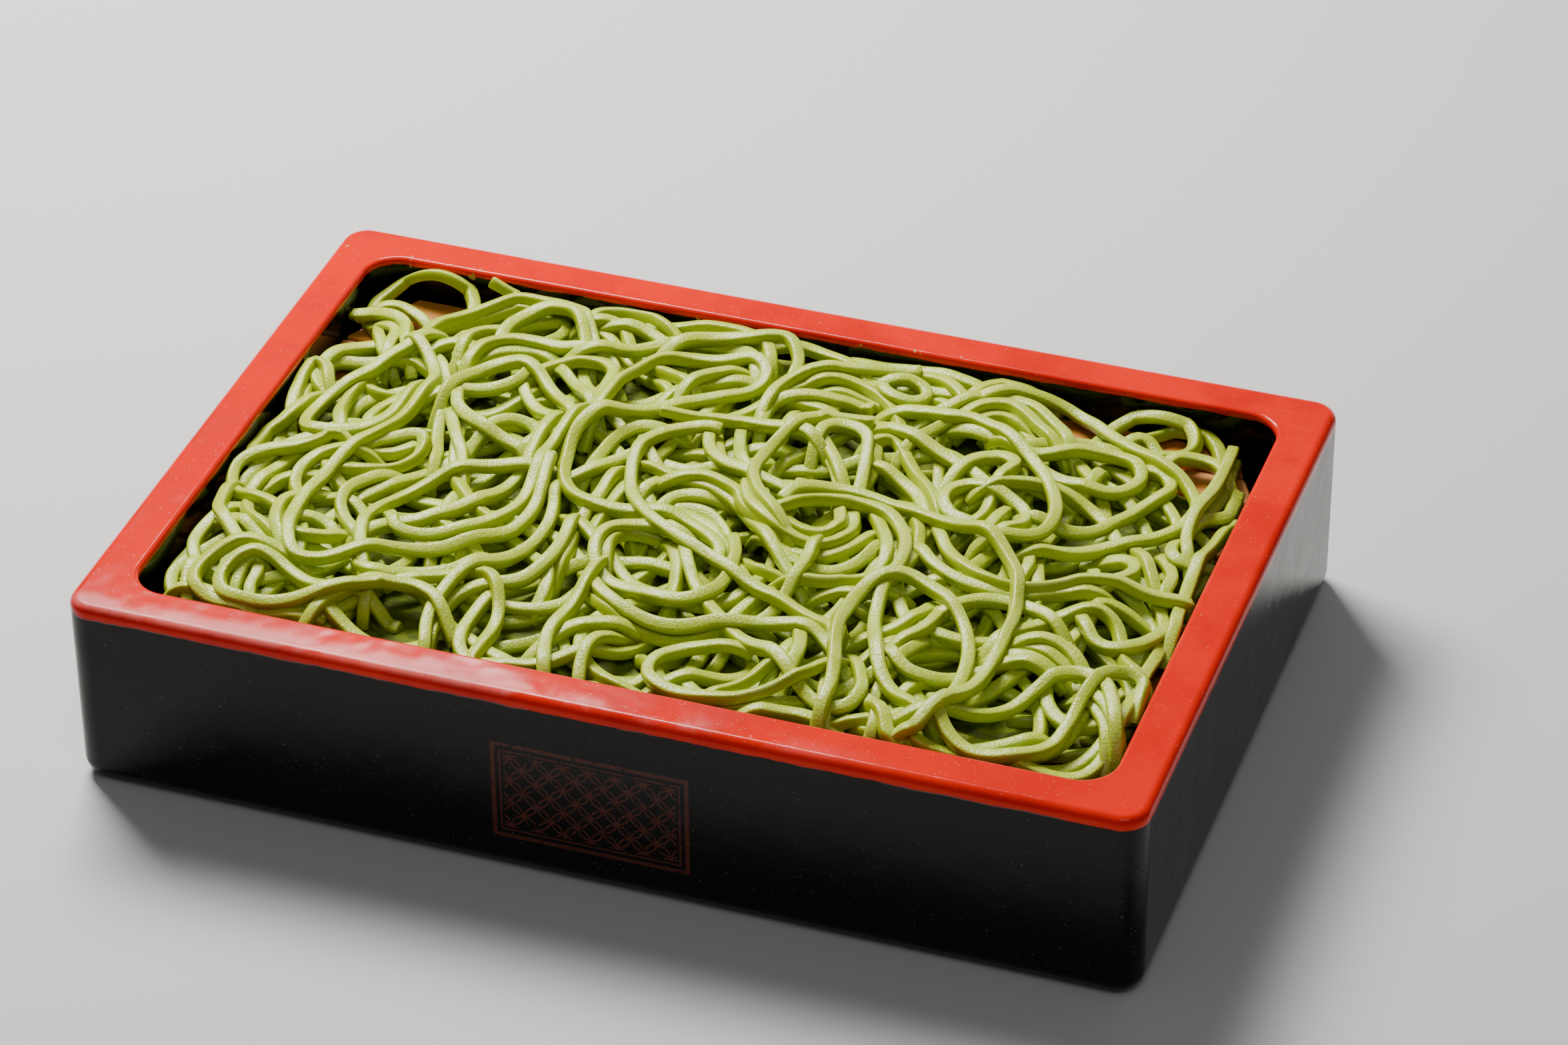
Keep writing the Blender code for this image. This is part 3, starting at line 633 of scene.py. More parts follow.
upperNoodles = """
-72,20 -71,26 -69,31 -65.5,35 -60.5,36.3 -55.5,34.5 -50.7,30.1 -46.1,25.5 -42,21
-2.5,40 -1.5,47 1.5,52.8 7.5,56.4 14.8,59.2 20.6,61.6 26.5,62.5 |
46.5,27 48.2,30.5 50.7,34 54.5,36 57.7,34.2 57,30.5
45,44 50,42 56,40 63,40.5 71,43.7 78,44.8 83.2,42.8 85.9,37.6 83.8,32 79.2,29.8 72.3,30.7 66.6,33.2 60,37 54,41
46,59.5 52,61.8 60.8,61.2 67.7,57.7 73.4,53.1 79.2,48.5 84.5,46 89.5,43 95.3,39.3 99.5,33.6 100.6,26.7 98.3,19.8 93,14.6 86,10.6 79.2,7.1 72.3,5
28,47 33,47.5 38,47 44,47.5 50,45 56,41 61,36.5 65.5,31 69.5,24.5 71.5,17.5 70.5,11 67,6 62,2
| 102,56.5 102.8,48.5 102.3,40.5 101.5,33 101,26 101.5,19 103,14
108.5,24 107.6,16 107,8 106.8,0 107.3,-8 108.3,-15
-6,-12 -3,-15.5 -0.7,-19 2.2,-25 6.8,-32 12.5,-38.3 18.3,-44 24,-47.5 31,-51 36.7,-56 42.4,-60.3 47,-62.3 51,-61 52,-56.5 50,-51 47,-46
-37,22 -36.8,30 -36,38 -33.6,46 -30,50.8 -24.3,53.1 -17.4,53.7 -10.5,54.3 -6.4,51.4 -5.9,46.8 -8.7,42.2 -13.9,38.2 -19.7,34.5 -25.4,30.1 -31.1,25.5 -35.7,22 -38,17.5 -38.6,12.3 -37.5,6 -35.7,-0.9 -32.9,-5.5 -28.3,-9 -22,-10.3 -15,-9.5 -8.2,-8.4 -2.4,-10.1 2.2,-13 6.8,-17.6 8,-22
| -23.1,28 -16.2,29.8 -8.2,31.4 -1.3,32 5.6,32.2 10,30.5
| 22.9,39.3 17,38.4 11.5,36 7.5,31 4.8,25 3.6,18.5 4,12.5 6.5,7 10,2.3 13.5,-0.8
-4,-15.5 -9,-14 -14,-14.8 -18,-18 -19,-23.5 -17.4,-29.7 -12.8,-34.6 -5.9,-37 1,-38.5 6.5,-37.5 10.3,-33.5 11.5,-26.2 10.8,-19 8.5,-13
-14.5,-38 -10,-42.5 -4,-45 3.3,-45.7 10.2,-45 17,-43.2 24,-40.6 30,-39.3 36,-40 41,-43.5
| -8.7,26.4 -12,26.2 -16,24.8 -20.2,21.5 -22.5,16.3 -22.8,10.6 -21.4,3.7 -18.5,-3.2 -13.9,-9 -8.2,-13.6 -1.3,-17 5.6,-20.3 12.5,-24.3 19.4,-28 27.5,-31.4 34.4,-34.8 39,-38.3 41.8,-43.4 43,-49.2 43.6,-55 45,-60
18,-49.5 12,-52 8,-56.5 6.8,-61.5 8.5,-66 13,-68.6 20,-68.6 27,-66 33,-61.5 38,-55.5 41,-49
-16.6,-31 -16.2,-38 -16.3,-45 -17,-52 -17.2,-58 -16,-64 -14,-69.5
-29.6,-69.9 -29.4,-62 -30.3,-54.5 -32.8,-48 -36.5,-43.5 -41,-42 -46,-43.5 -52,-46.5
-41.3,-69.3 -43.6,-62 -44.4,-54 -43.4,-47 -40.3,-40.6 -35.9,-34.3 -32.9,-27.4 -32.2,-20.5 -33.2,-13.6 -35,-8
-44.5,0.5 -49,-1.5 -54.1,-4.8 -59.9,-9.6 -65,-15.9 -68.8,-22.8 -70,-29.7 -69,-36.5 -66.5,-42
-41.5,23 -42.3,14 -42.3,5 -41.3,-4 -40.8,-12 -42,-19 -46,-25.3 -51.8,-30 -57.6,-32.8 -62,-33.5 -64,-31
| -66.5,-57.3 -72,-56 -78,-53 -83,-50.8 -87.5,-51 -91,-54.5 -91.8,-59.8 -89,-64.5 -83,-65.8 -75,-64.3 -68,-61.3 -62.2,-56.7 -56.4,-52.4 -50.7,-51 -46,-53 -42.5,-56
-86,38 -80.6,32.4 -76.6,25 -76.9,17.5 -78,9.4 -80,1.4 -83,-5.5 -85.2,-12.4 -86,-20.5 -86.3,-28.5 -85.2,-36.5 -82.9,-43.4 -79.4,-47.8 -74.3,-47.1 -67.9,-43.4 -62.2,-40 -56.4,-37.1 -49.5,-34.3 -43.8,-30.2 -39.2,-25 -37.5,-19.3 -37.5,-12.4 -38.6,-5.5 -40.3,3.7 |
17,5.5 20.5,8 25,9.2 31,8.9 37.8,6.6 42.4,1.4 45,-5.5 45.7,-11.3 44.9,-16 44.9,-21.6 46.6,-30.8 49.9,-40 53.9,-48.6 59.7,-55.5 66.6,-60.7
46,-64 45.3,-57 43.5,-49 41,-41 39.6,-33 39.6,-25.5 41.2,-19.5 44.4,-15.4 49.3,-14.1 55.6,-17 62,-22.8 66.6,-29.7 69.4,-37.7 70.4,-45.7 69.5,-53 66.5,-60
66,-58.5 71,-57 76.9,-54.6 82.3,-50.3 85.9,-44.6 89,-39.3 93,-36 97,-36.5 100.5,-40 103,-45 105,-50
68,-57 70.5,-61 74.6,-65 80,-67.6 86,-67.9 91,-65.5 94.7,-60.2 96,-52.6 96.6,-44.6 98.4,-37 102,-32.6 106,-33 108.5,-37
107,-3.2 98.7,-3.4 91.8,-3 85,-4.4 78,-7.9 71.1,-10.3 64.3,-10.1 58.5,-7.2 53.9,-2.5 51,2
| 13.7,4.5 15.2,8.3 19.4,11.3 25.2,12.9 32,12.3 39,10.6 47,8.9 53.9,7.1 60.8,4.8 66,0.2 70,-5.5 72.3,-12.4 74,-20.5 74.6,-28.5 74.6,-36.5 73.4,-44.6 71.1,-52.6 67.7,-59.5 65.4,-65.3 63.7,-69.3
"""


# where the heap's top should be: low along the walls, gently crowned in the middle
def heapTop(x, y):
    low, high = heap["edgeLevel"], heap["middleLevel"]
    inward = np.minimum(heap["halfX"] - np.abs(x), heap["halfY"] - np.abs(y))
    t = np.clip(inward / heap["edgeSlope"], 0, 1)
    rise = t * t * (3 - 2 * t)
    wave = 0.7 * np.sin(x / 17.0 + 1.0) * np.cos(y / 13.0) + 0.5 * np.sin(x / 29.0 - y / 21.0)
    return heap["rackTop"] + low + (high - low) * rise + wave * rise


packedCore = {
    "inset": 4.5, "squareness": 5, "bayAngle": 0.17, "thinnest": 0.8, "ridges": 0.35, "cells": (90, 60),
}


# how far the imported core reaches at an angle: a ragged rounded oblong, drawn back where the rack shows
def coreReach(angle):
    halfX, halfY = heap["halfX"] - packedCore["inset"], heap["halfY"] - packedCore["inset"]
    across, along = np.abs(np.cos(angle)) / halfX, np.abs(np.sin(angle)) / halfY
    power = packedCore["squareness"]
    reach = (across ** power + along ** power) ** (-1 / power)
    for x, y, _, _, back in heap["bareRack"]:
        reach = reach - back * np.exp(-((angle - math.atan2(y, x)) / packedCore["bayAngle"]) ** 2)
    return reach - 1.6 - 1.1 * np.sin(9 * angle + 0.7) - 0.6 * np.sin(17 * angle)


def coreTop(x, y):
    return np.maximum(heap["bottom"] + packedCore["thinnest"], heapTop(x, y) - heap["coreBelow"])


def onBareRack(x, y):
    for midX, midY, halfX, halfY, _ in heap["bareRack"]:
        if math.hypot((x - midX) / halfX, (y - midY) / halfY) < 1:
            return True
    return False


reliefCell = 0.6
reliefX = np.arange(-heap["halfX"], heap["halfX"] + reliefCell, reliefCell)
reliefY = np.arange(-heap["halfY"], heap["halfY"] + reliefCell, reliefCell)


# the heap's upper surface on a grid, raised by each noodle that is laid
def startRelief():
    x, y = np.meshgrid(reliefX, reliefY, indexing="ij")
    inCore = np.hypot(x, y) < coreReach(np.arctan2(y, x)) - 1.0
    return np.where(inCore, coreTop(x, y) - 0.4, heap["bottom"])


# the cells that a noodle covers at one place, and how much lower it is there
def footCells():
    reach = heap["width"] * 0.56
    span = int(reach / reliefCell) + 1
    cells = []
    for di in range(-span, span + 1):
        for dj in range(-span, span + 1):
            far = math.hypot(di, dj) * reliefCell
            if far <= reach:
                cells.append((di, dj, 0.55 * (far / reach) ** 3))
    return cells


relief = startRelief()
foot = footCells()


def under(path):
    i = np.rint((path[:, 0] + heap["halfX"]) / reliefCell).astype(int)
    j = np.rint((path[:, 1] + heap["halfY"]) / reliefCell).astype(int)
    for di, dj, drop in foot:
        yield np.clip(i + di, 0, relief.shape[0] - 1), np.clip(j + dj, 0, relief.shape[1] - 1), drop


def support(path):
    level = np.full(len(path), -1e9)
    for i, j, drop in under(path):
        level = np.maximum(level, relief[i, j] - drop)
    return level


def raiseRelief(path, middle):
    top = middle + heap["thickness"] / 2 - heap["sink"]
    for i, j, drop in under(path):
        np.maximum.at(relief, (i, j), top - drop)


# where a noodle passes over an earlier part of itself
def ownCrossings(path):
    distance = np.hypot(*(path[:, None, :] - path[None, :, :]).transpose(2, 0, 1))
    near = np.argwhere(distance < heap["width"] * 1.1)
    return [(a, b) for a, b in near if (b - a) * heap["step"] > 3.2 * heap["width"]]


# heights of a noodle's middle: it rests on what is under it and bends no tighter than the drape radius
def drape(path, floorLevel, crossings):
    lowest = floorLevel + heap["thickness"] / 2
    sag = heap["step"] ** 2 / (2 * heap["drapeRadius"])
    for _ in range(3 if crossings else 1):
        middle = lowest.copy()
        for _ in range(heap["drapeRounds"]):
            between = (np.roll(middle, 1) + np.roll(middle, -1)) / 2 - sag
            between[0] = between[-1] = -1e9
            middle = np.maximum(lowest, between)
        for a, b in crossings:
            lowest[b] = max(lowest[b], middle[a] + heap["thickness"] * 0.95)
    for _ in range(3):
        softer = middle[1:-1] * 0.5 + (middle[2:] + middle[:-2]) * 0.25
        middle[1:-1] = np.maximum(softer, lowest[1:-1] - 0.15)
    return middle


def insideOpening(x, y, clearance):
    corner = heap["openingCorner"] + heap["cornerRoom"][0 if y > 0 else 1]
    overX = max(0.0, abs(x) - (heap["halfX"] - corner))
    overY = max(0.0, abs(y) - (heap["halfY"] - corner))
    if overX > 0 and overY > 0:
        return math.hypot(overX, overY) < corner - clearance
    return min(heap["halfX"] - abs(x), heap["halfY"] - abs(y)) > clearance


# a noodle seen from above: a smooth line whose bend swings from one side to the other
def wanderingPath(draw, length):
    x = draw.uniform(-heap["halfX"], heap["halfX"])
    y = draw.uniform(-heap["halfY"], heap["halfY"])
    heading = draw.uniform(0, 2 * math.pi)
    bend = draw.choice((-1, 1)) / draw.uniform(11.0, 50.0)
    swing = draw.uniform(0.0, 0.06)
    wave = draw.uniform(35.0, 110.0)
    phase = draw.uniform(0, 2 * math.pi)
    side = 0
    path = []
    for step in range(int(length / heap["step"]) + 1):
        if not insideOpening(x, y, heap["wallClearance"] + 0.4) or onBareRack(x, y):
            return None
        path.append((x, y))
        turn = bend + swing * math.sin(2 * math.pi * step * heap["step"] / wave + phase)
        nextX, nextY = x + 7 * math.cos(heading), y + 7 * math.sin(heading)
        if not insideOpening(nextX, nextY, heap["wallClearance"] + 0.5):
            turn = heap["sharpestBend"] * (side or math.copysign(1, turn))
            side = math.copysign(1, turn)
        else:
            side = 0
        heading += max(-heap["sharpestBend"], min(heap["sharpestBend"], turn)) * heap["step"]
        x += heap["step"] * math.cos(heading)
        y += heap["step"] * math.sin(heading)
    return np.array(path)


# lays noodles one by one, each time the candidate that lies lowest and where least lies yet
def layFill(draw):
    longest, shortest = heap["fillLengths"]
    leastTop = heap["bottom"] + heap["thickness"] + 0.4
    laid = []
    used = np.zeros((9, 6))
    for k in range(heap["fillStrands"]):
        length = longest + (shortest - longest) * (k / (heap["fillStrands"] - 1))
        best = None
        tried = 0
        while tried < heap["fillTries"]:
            path = wanderingPath(draw, length)
            if path is None:
                continue
            tried += 1
            middle = drape(path, support(path), ownCrossings(path))
            allowed = np.maximum(leastTop, heapTop(path[:, 0], path[:, 1]) - heap["fillBelow"])
            over = np.maximum(0.0, middle + heap["thickness"] / 2 - allowed)
            column = ((path[:, 0] / heap["halfX"] + 1) / 2 * 8.999).astype(int)
            row = ((path[:, 1] / heap["halfY"] + 1) / 2 * 5.999).astype(int)
            hollow = np.clip(allowed - middle - heap["thickness"] / 2, 0, 4)
            crowded = used[column, row].mean()
            cost = over.mean() * 2 + over.max() + crowded * 0.08 - 0.8 * hollow.mean()
            if best is None or cost < best[0]:
                best = (cost, path, middle, column, row)
        _, path, middle, column, row = best
        middle = sinkEnds(middle, False, False)
        raiseRelief(path, middle)
        np.add.at(used, (column, row), 1)
        laid.append(np.column_stack([path, middle]))
    return laid


# a curve through the points, evenly spaced
def smoothRoute(points):
    ends = np.vstack([2 * points[0] - points[1], points, 2 * points[-1] - points[-2]])
    fine = []
    for a, b, c, d in zip(ends[:-3], ends[1:-2], ends[2:-1], ends[3:]):
        t = np.linspace(0, 1, 16, endpoint=False)[:, None]
        bent, twisted = 2 * a - 5 * b + 4 * c - d, 3 * b - a - 3 * c + d
        fine.append(0.5 * (2 * b + (c - a) * t + bent * t ** 2 + twisted * t ** 3))
    line = np.vstack(fine + [points[-1:]])
    far = np.concatenate([[0], np.cumsum(np.hypot(*np.diff(line, axis=0).T))])
    even = np.linspace(0, far[-1], max(4, int(far[-1] / heap["step"]) + 1))
    return np.column_stack([np.interp(even, far, line[:, k]) for k in range(2)])


# keeps a noodle's middle off the walls and out of the opening's rounded corners
def keepInside(path):
    half = np.array([heap["halfX"], heap["halfY"]])
    limit = half - heap["wallClearance"]
    path = np.clip(path, -limit, limit)
    corner = heap["openingCorner"]
    over = np.maximum(np.abs(path) - (half - corner), 0)
    reach = np.hypot(over[:, 0], over[:, 1])
    allowed = corner - heap["wallClearance"]
    pull = np.where(reach > allowed, allowed / np.maximum(reach, 1e-6), 1.0)[:, None]
    return np.sign(path) * (np.abs(path) - over + over * pull)


# points that go on past the last one along the noodle's own bend
def carryOn(points, length):
    a, b, c = points[-3:]
    heading = math.atan2(*(c - b)[::-1])
    bend = (heading - math.atan2(*(b - a)[::-1]) + math.pi) % (2 * math.pi) - math.pi
    bend = max(-0.05, min(0.05, bend / np.hypot(*(c - b)))) * length / 2
    onward = heading + bend / 2
    return [c + length / 2 * np.array([math.cos(onward), math.sin(onward)]) * k for k in (1, 2)]


# lets the ends that don't show go down between their neighbours
def sinkEnds(middle, cutStart, cutEnd):
    far = np.arange(len(middle)) * heap["step"]
    for cut, away in ((cutStart, far), (cutEnd, far[::-1])):
        if not cut:
            t = np.clip(1 - away / heap["diveLength"], 0, 1)
            middle = middle - heap["diveDepth"] * t ** 1.6
    return np.maximum(middle, heap["bottom"] + heap["thickness"] / 2)


# a running mean over the places within reach, twice over
def evened(values, reach):
    for _ in range(2):
        padded = np.pad(values, reach, mode="edge")
        values = np.convolve(padded, np.ones(2 * reach + 1) / (2 * reach + 1), mode="valid")
    return values


# lays one traced noodle; where it lies follows from its height, so both are found together
def layRoute(text):
    cutStart, cutEnd = text.startswith("|"), text.endswith("|")
    pairs = text.strip("| ").split()
    points = [np.array([float(v) for v in pair.split(",")]) for pair in pairs]
    if not cutStart:
        points = carryOn(points[::-1], heap["carryOn"])[::-1] + points
    if not cutEnd:
        points = points + carryOn(points, heap["carryOn"])
    seen = smoothRoute(np.array(points))
    lean = np.array(heap["eyeLean"])
    middle = np.full(len(seen), heap["rimTop"] - 3.5)
    for _ in range(5):
        wanted = seen + (evened(middle, 9) - heap["rimTop"])[:, None] * lean
        path = keepInside(wanted)
        # where the back wall holds a noodle, it leans up on the wall
        propped = heap["rimTop"] + (seen[:, 1] - path[:, 1]) / -lean[1]
        level = support(path)
        held = wanted[:, 1] > path[:, 1] + 0.01
        leaning = np.minimum(propped, heap["highest"] - 2) - heap["thickness"] / 2
        level = np.where(held, np.maximum(level, leaning), level)
        middle = 0.4 * middle + 0.6 * drape(path, level, ownCrossings(path))
    level = support(path)
    middle = sinkEnds(np.maximum(middle, level + heap["thickness"] / 2 - 0.3), cutStart, cutEnd)
    raiseRelief(path, middle)
    return np.column_stack([path, middle])


def layNoodles():
    draw = random.Random(heap["seed"])
    layers = {"noodles_packed": layFill(draw)}
    print("hidden noodles laid", len(layers["noodles_packed"]))
    for name, routes in (
        ("noodles_lower", lowerNoodles), ("noodles_middle", middleNoodles), ("noodles_upper", upperNoodles),
    ):
        layers[name] = [layRoute(route) for route in routes.strip().split("\n")]
        top = max(line[:, 2].max() for line in layers[name])
        print(name, "laid", len(layers[name]), "top", round(top, 1))
    pressHeap(layers)
    return layers


# presses what stands too high down to the heap's highest level; the higher of two noodles stays higher
def pressHeap(layers):
    limit = heap["highest"] - heap["thickness"] / 2
    highest = max(line[:, 2].max() for lines in layers.values() for line in lines)
    if highest <= limit:
        return
    start = heap["pressFrom"]
    for lines in layers.values():
        for line in lines:
            over = np.maximum(line[:, 2] - start, 0) / (highest - start)
            pressed = start + (limit - start) * (1 - (1 - over) ** heap["pressCurve"])
            pressed = np.where(over > 0, np.minimum(line[:, 2], pressed), line[:, 2])
            # it keeps its place in the photo's view
            line[:, :2] += evened(pressed - line[:, 2], 4)[:, None] * np.array(heap["eyeLean"])
            line[:, :2] = keepInside(line[:, :2])
            line[:, 2] = pressed


# noodle heap: the meshes

strandShape = {
    "cornerRadius": 0.64, "twist": 24.0, "tilt": 12, "uneven": 0.045, "endTaper": 0.84, "endLength": 0.35,
}


# a square section with rounded corners: across, up, and how much of the rolled face each point shows
def sectionPoints():
    halfWide, halfHigh = heap["width"] / 2, heap["thickness"] / 2
    corner = strandShape["cornerRadius"]
    points = []
    for sideX, sideY, start in ((1, 1, 0), (-1, 1, 90), (-1, -1, 180), (1, -1, 270)):
        for k in range(3):
            angle = math.radians(start + 45 * k)
            across = sideX * (halfWide - corner) + corner * math.cos(angle)
            up = sideY * (halfHigh - corner) + corner * math.sin(angle)
            points.append((across, up, abs(math.sin(angle))))
    return np.array(points)


# points, faces, texture places and face kind for one noodle
def strandMesh(line, draw):
    section = sectionPoints()
    count, around = len(line), len(section)
    ahead = np.gradient(line, axis=0)
    ahead /= np.linalg.norm(ahead, axis=1)[:, None]
    across = np.cross(ahead, (0, 0, 1))
    across /= np.linalg.norm(across, axis=1)[:, None]
    up = np.cross(across, ahead)
    along = np.arange(count) * heap["step"]
    phases = [draw.uniform(0, 2 * math.pi) for _ in range(4)]
    tilt = draw.uniform(-strandShape["tilt"], strandShape["tilt"])
    twist = 0.6 * np.sin(along / 17 + phases[0]) + 0.4 * np.sin(along / 7.5 + phases[1])
    roll = np.radians(tilt + strandShape["twist"] * twist)
    uneven = np.sin(along / 9 + phases[2]) + 0.6 * np.sin(along / 3.7 + phases[3])
    swell = 1 + strandShape["uneven"] * uneven
    swell *= draw.uniform(0.95, 1.04)
    # blunt cut ends, a little narrower than the rest
    rings = [(0, -strandShape["endLength"], strandShape["endTaper"])]
    rings += [(k, 0.0, 1.0) for k in range(count)]
    rings += [(count - 1, strandShape["endLength"], strandShape["endTaper"])]
    points = []
    for k, push, size in rings:
        c, s = math.cos(roll[k]), math.sin(roll[k])
        side = across[k] * c + up[k] * s
        top = up[k] * c - across[k] * s
        flat = section[:, :2] * swell[k] * size
        points.append(line[k] + ahead[k] * push + flat[:, :1] * side + flat[:, 1:2] * top)
    points = np.vstack(points) * mm
    total = len(rings)
    first, corners = np.arange(total - 1)[:, None] * around, np.arange(around)[None, :]
    base, beside = first + corners, first + (corners + 1) % around
    quads = np.stack([base, beside, beside + around, base + around], axis=-1).reshape(-1, 4)
    caps = [list(range(around))[::-1], list(range((total - 1) * around, total * around))]
    # texture places, in metres along the noodle and round it
    sides = np.diff(np.vstack([section, section[:1]])[:, :2], axis=0)
    rounds = np.concatenate([[0], np.cumsum(np.hypot(*sides.T))])
    start = draw.uniform(0, 0.5)
    u = start + np.concatenate([[0], along + 0.1, [along[-1] + 0.4]]) * mm
    v = rounds * mm
    ring, place = np.divmod(np.arange((total - 1) * around), around)
    uv = np.stack([
        np.stack([u[ring], v[place]], -1), np.stack([u[ring], v[place + 1]], -1),
        np.stack([u[ring + 1], v[place + 1]], -1), np.stack([u[ring + 1], v[place]], -1),
    ], axis=1).reshape(-1, 2)
    capUv = np.column_stack([np.full(2 * around, start), np.tile(v[:around], 2)])
    return points, quads, caps, np.vstack([uv, capUv]), np.tile(section[:, 2], total), draw.uniform(0, 1)


# one piece for many noodles
def joinStrands(name, lines, draw):
    allPoints, allFaces, allUv, allRolled, allTint = [], [], [], [], []
    first = 0
    for line in lines:
        points, quads, caps, uv, rolled, tint = strandMesh(line, draw)
        allPoints.append(points)
        allFaces += (quads + first).tolist() + [[k + first for k in cap] for cap in caps]
        allUv.append(uv)
        allRolled.append(rolled)
        allTint.append(np.full(len(points), tint))
        first += len(points)
    mesh = bpy.data.meshes.new(name)
    mesh.from_pydata(np.vstack(allPoints).tolist(), [], allFaces)
    layer = mesh.uv_layers.new(name="alongNoodle")
    layer.data.foreach_set("uv", np.vstack(allUv).astype(np.float32).ravel())
    for title, values in (("rolled", allRolled), ("tint", allTint)):
        attribute = mesh.attributes.new(title, "FLOAT", "POINT")
        attribute.data.foreach_set("value", np.concatenate(values).astype(np.float32))
    mesh.update()
    piece = bpy.data.objects.new(name, mesh)
    bpy.context.scene.collection.objects.link(piece)
    makeActive(piece)
    bpy.ops.object.mode_set(mode="EDIT")
    bpy.ops.mesh.select_all(action="SELECT")
    bpy.ops.mesh.normals_make_consistent(inside=False)
    bpy.ops.object.mode_set(mode="OBJECT")
    bpy.ops.object.shade_smooth_by_angle(angle=math.radians(50))
    return piece


noodle = {
    # the darkest colour below is painted shade for the core
    "rolledFace": (0.505, 0.620, 0.036), "cutFace": (0.390, 0.475, 0.009), "paintedCoreShade": (0.07, 0.085, 0.006),
    # on the line below, the pale yellowish colour is painted glints and the dark green one is painted shade
    "paintedGlints": (0.80, 0.86, 0.36), "paintedShade": (0.16, 0.21, 0.008), "fleck": (0.20, 0.23, 0.03),
    "specular": 0.30, "wetFilm": 0.44, "wetFilmRoughness": 0.13,
    "translucency": 0.15, "translucencyRadius": (0.9, 1.0, 0.35), "translucencyScale": 0.0012,
    "coreSpecular": 0.12,
}


def makeNoodleSkin():
    material, tree, shader = newMaterial("teaNoodleSkin")
    place = addNode(tree, "ShaderNodeTexCoord")
    onBody = place.outputs["Object"]
    along = place.outputs["UV"]
    rolled = addNode(tree, "ShaderNodeAttribute", attribute_name="rolled").outputs["Fac"]
    tint = addNode(tree, "ShaderNodeAttribute", attribute_name="tint").outputs["Fac"]
    patches = grain(tree, onBody, 130, 3, 0.55)
    streaks = grain(tree, along, 900, 3, 0.6, stretch=(0.10, 1.0, 1.0))
    pores = grain(tree, onBody, 1700, 2, 0.6)
    face = fade(tree, plus(tree, rolled, times(tree, minus(tree, patches, 0.5), 0.9)), 0.15, 0.95)
    colour = blendColours(tree, face, noodle["cutFace"], noodle["rolledFace"])
    shade = plus(tree, times(tree, tint, 0.16), times(tree, streaks, 0.22))
    colour = blendColours(tree, shade, colour, noodle["cutFace"])
    flecks = fade(tree, grain(tree, onBody, 1300, 2, 0.5), 0.69, 0.74)
    colour = blendColours(tree, times(tree, flecks, 0.35), colour, noodle["fleck"])
    # painted glints: tiny pale flecks on the rolled faces stand in for sparkling highlights
    paintedGlints = fade(tree, grain(tree, onBody, 1500, 2, 0.7), 0.56, 0.66)
    colour = blendColours(tree, times(tree, face, 0.42, paintedGlints), colour, noodle["paintedGlints"])
    # painted shade: noodles low in the heap are darkened by their height
    split = addNode(tree, "ShaderNodeSeparateXYZ")
    tree.links.new(onBody, split.inputs[0])
    shadeByHeight = fade(tree, split.outputs[2], 0.0435, 0.0392)
    colour = blendColours(tree, times(tree, shadeByHeight, 0.45), colour, noodle["paintedShade"])
    tree.links.new(colour, shader.inputs["Base Color"])
    roughness = plus(tree, times(tree, pores, 0.42), 0.12)
    tree.links.new(roughness, shader.inputs["Roughness"])
    shader.inputs["Subsurface Weight"].default_value = noodle["translucency"]
    shader.inputs["Subsurface Radius"].default_value = noodle["translucencyRadius"]
    shader.inputs["Subsurface Scale"].default_value = noodle["translucencyScale"]
    shader.inputs["Specular IOR Level"].default_value = noodle["specular"]
    shader.inputs["Coat Weight"].default_value = noodle["wetFilm"]
    shader.inputs["Coat Roughness"].default_value = noodle["wetFilmRoughness"]
    height = times(tree, pores, plus(tree, times(tree, face, 0.65), 0.35))
    skin = bump(tree, height, 1.0, 0.00016)
    tree.links.new(bump(tree, patches, 0.35, 0.0006, skin), shader.inputs["Normal"])
    # the wet film follows the grain of the rolled faces
    tree.links.new(bump(tree, height, 1.0, 0.00026), shader.inputs["Coat Normal"])
    return material


# the imported inside of the heap, seen only between noodles, coloured a dark olive that is painted shade
def makeCoreSkin():
    material, tree, shader = newMaterial("packedNoodles")
    onBody = addNode(tree, "ShaderNodeTexCoord").outputs["Object"]
    ridges = grain(tree, onBody, 420, 3, 0.6, stretch=(0.5, 1.0, 1.0))
    # painted shade: the core's dark olive darkens what shows between noodles
    colour = blendColours(tree, fade(tree, ridges, 0.35, 0.65), noodle["paintedCoreShade"], noodle["paintedShade"])
    tree.links.new(colour, shader.inputs["Base Color"])
    roughness = plus(tree, times(tree, ridges, 0.3), 0.5)
    tree.links.new(roughness, shader.inputs["Roughness"])
    shader.inputs["Specular IOR Level"].default_value = noodle["coreSpecular"]
    tree.links.new(bump(tree, ridges, 0.8, 0.001), shader.inputs["Normal"])
    return material


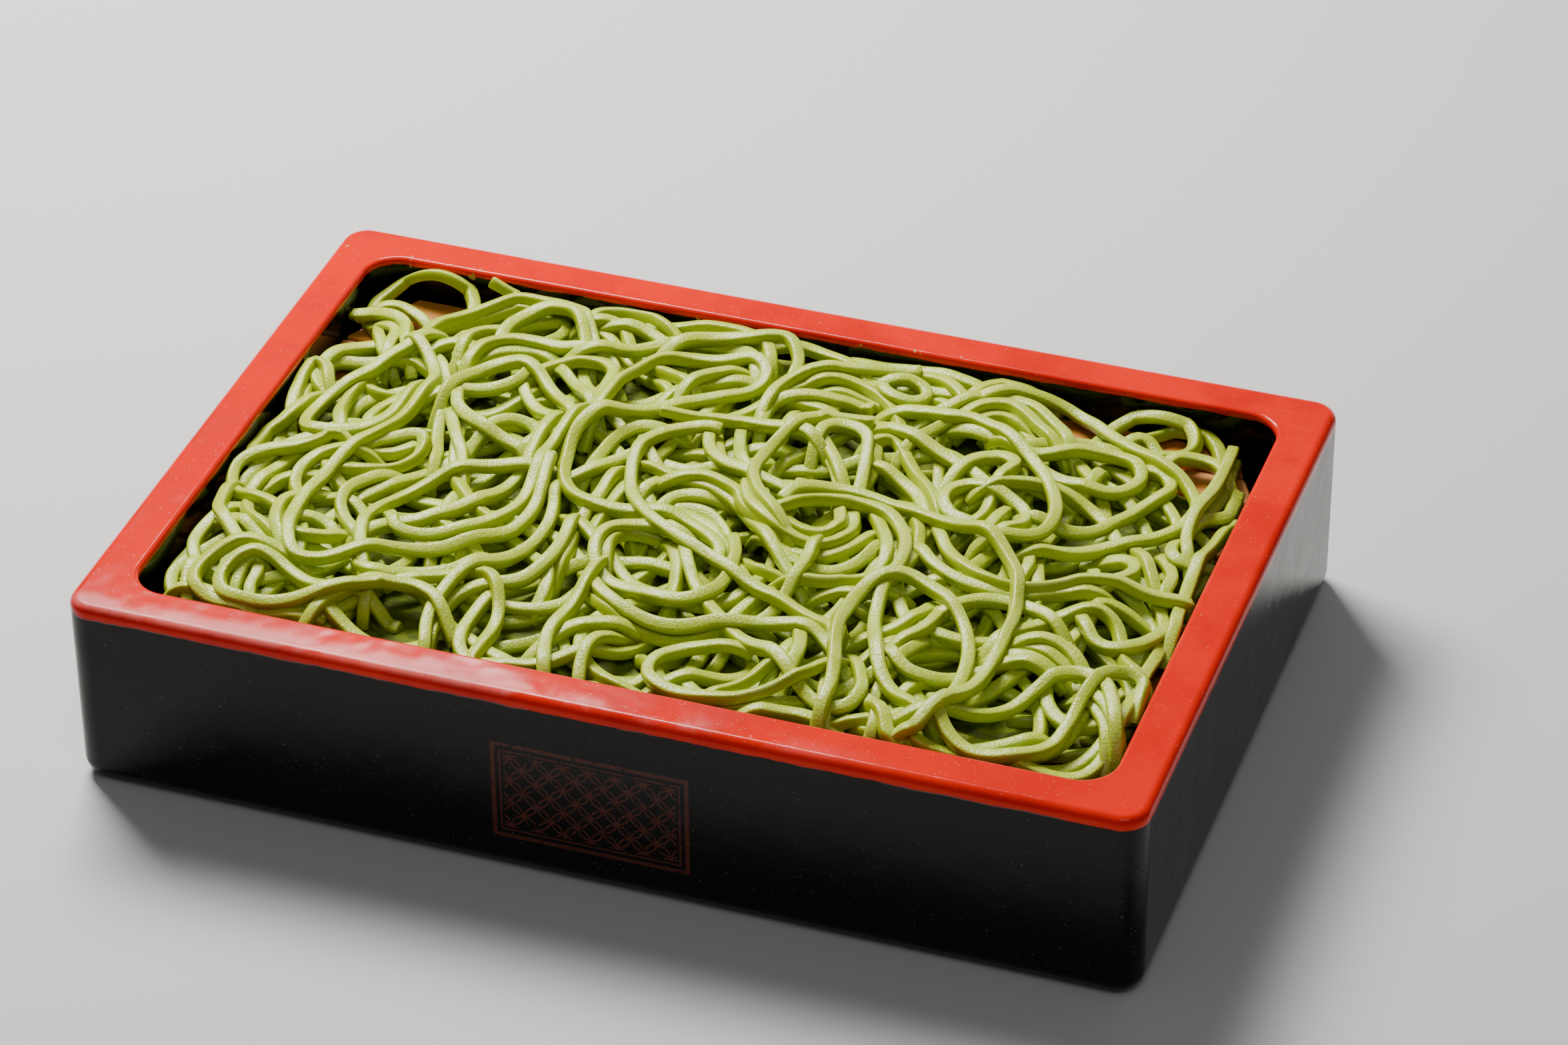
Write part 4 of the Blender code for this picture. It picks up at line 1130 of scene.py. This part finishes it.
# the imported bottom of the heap, from a flat grid pushed out to the core's outline and closed below
def makeCore():
    deselectAll()
    columns, rows = packedCore["cells"]
    bpy.ops.mesh.primitive_grid_add(x_subdivisions=columns, y_subdivisions=rows, size=2, location=(0, 0, 0))
    core = bpy.context.object
    core.name = core.data.name = "noodle_core"
    flat = np.empty(len(core.data.vertices) * 3)
    core.data.vertices.foreach_get("co", flat)
    points = flat.reshape(-1, 3)
    side = np.maximum(np.abs(points[:, 0]), np.abs(points[:, 1]))
    angle = np.arctan2(points[:, 1] * heap["halfY"], points[:, 0] * heap["halfX"])
    reach = coreReach(angle) * side
    x, y = reach * np.cos(angle), reach * np.sin(angle)
    ridges = packedCore["ridges"] * np.sin(x / 1.9) * np.sin(y / 2.3 + x / 7)
    points[:] = np.column_stack([x, y, coreTop(x, y) + ridges]) * mm
    core.data.vertices.foreach_set("co", points.ravel())
    core.data.update()
    makeActive(core)
    bpy.ops.object.mode_set(mode="EDIT")
    bpy.ops.mesh.select_mode(type="EDGE")
    bpy.ops.mesh.select_all(action="DESELECT")
    bpy.ops.mesh.select_non_manifold()
    bpy.ops.mesh.extrude_region_move(TRANSFORM_OT_translate={"value": (0, 0, -0.004)})
    bpy.ops.transform.resize(value=(1, 1, 0), center_override=(0, 0, heap["bottom"] * mm))
    bpy.ops.mesh.edge_face_add()
    bpy.ops.mesh.select_all(action="SELECT")
    bpy.ops.mesh.normals_make_consistent(inside=False)
    bpy.ops.object.mode_set(mode="OBJECT")
    bpy.ops.object.shade_smooth_by_angle(angle=math.radians(50))
    core.data.materials.append(makeCoreSkin())
    return core


def makeHeap():
    draw = random.Random(heap["seed"] + 1)
    skin = makeNoodleSkin()
    pieces = [makeCore()]
    for name, lines in layNoodles().items():
        piece = joinStrands(name, lines, draw)
        piece.data.materials.append(skin)
        pieces.append(piece)
    for piece in pieces:
        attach(piece, "root")
        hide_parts("noodle_heap")
        print(piece.name, "triangles", sum(len(face.vertices) - 2 for face in piece.data.polygons))


makeHeap()
print("noodle heap made")
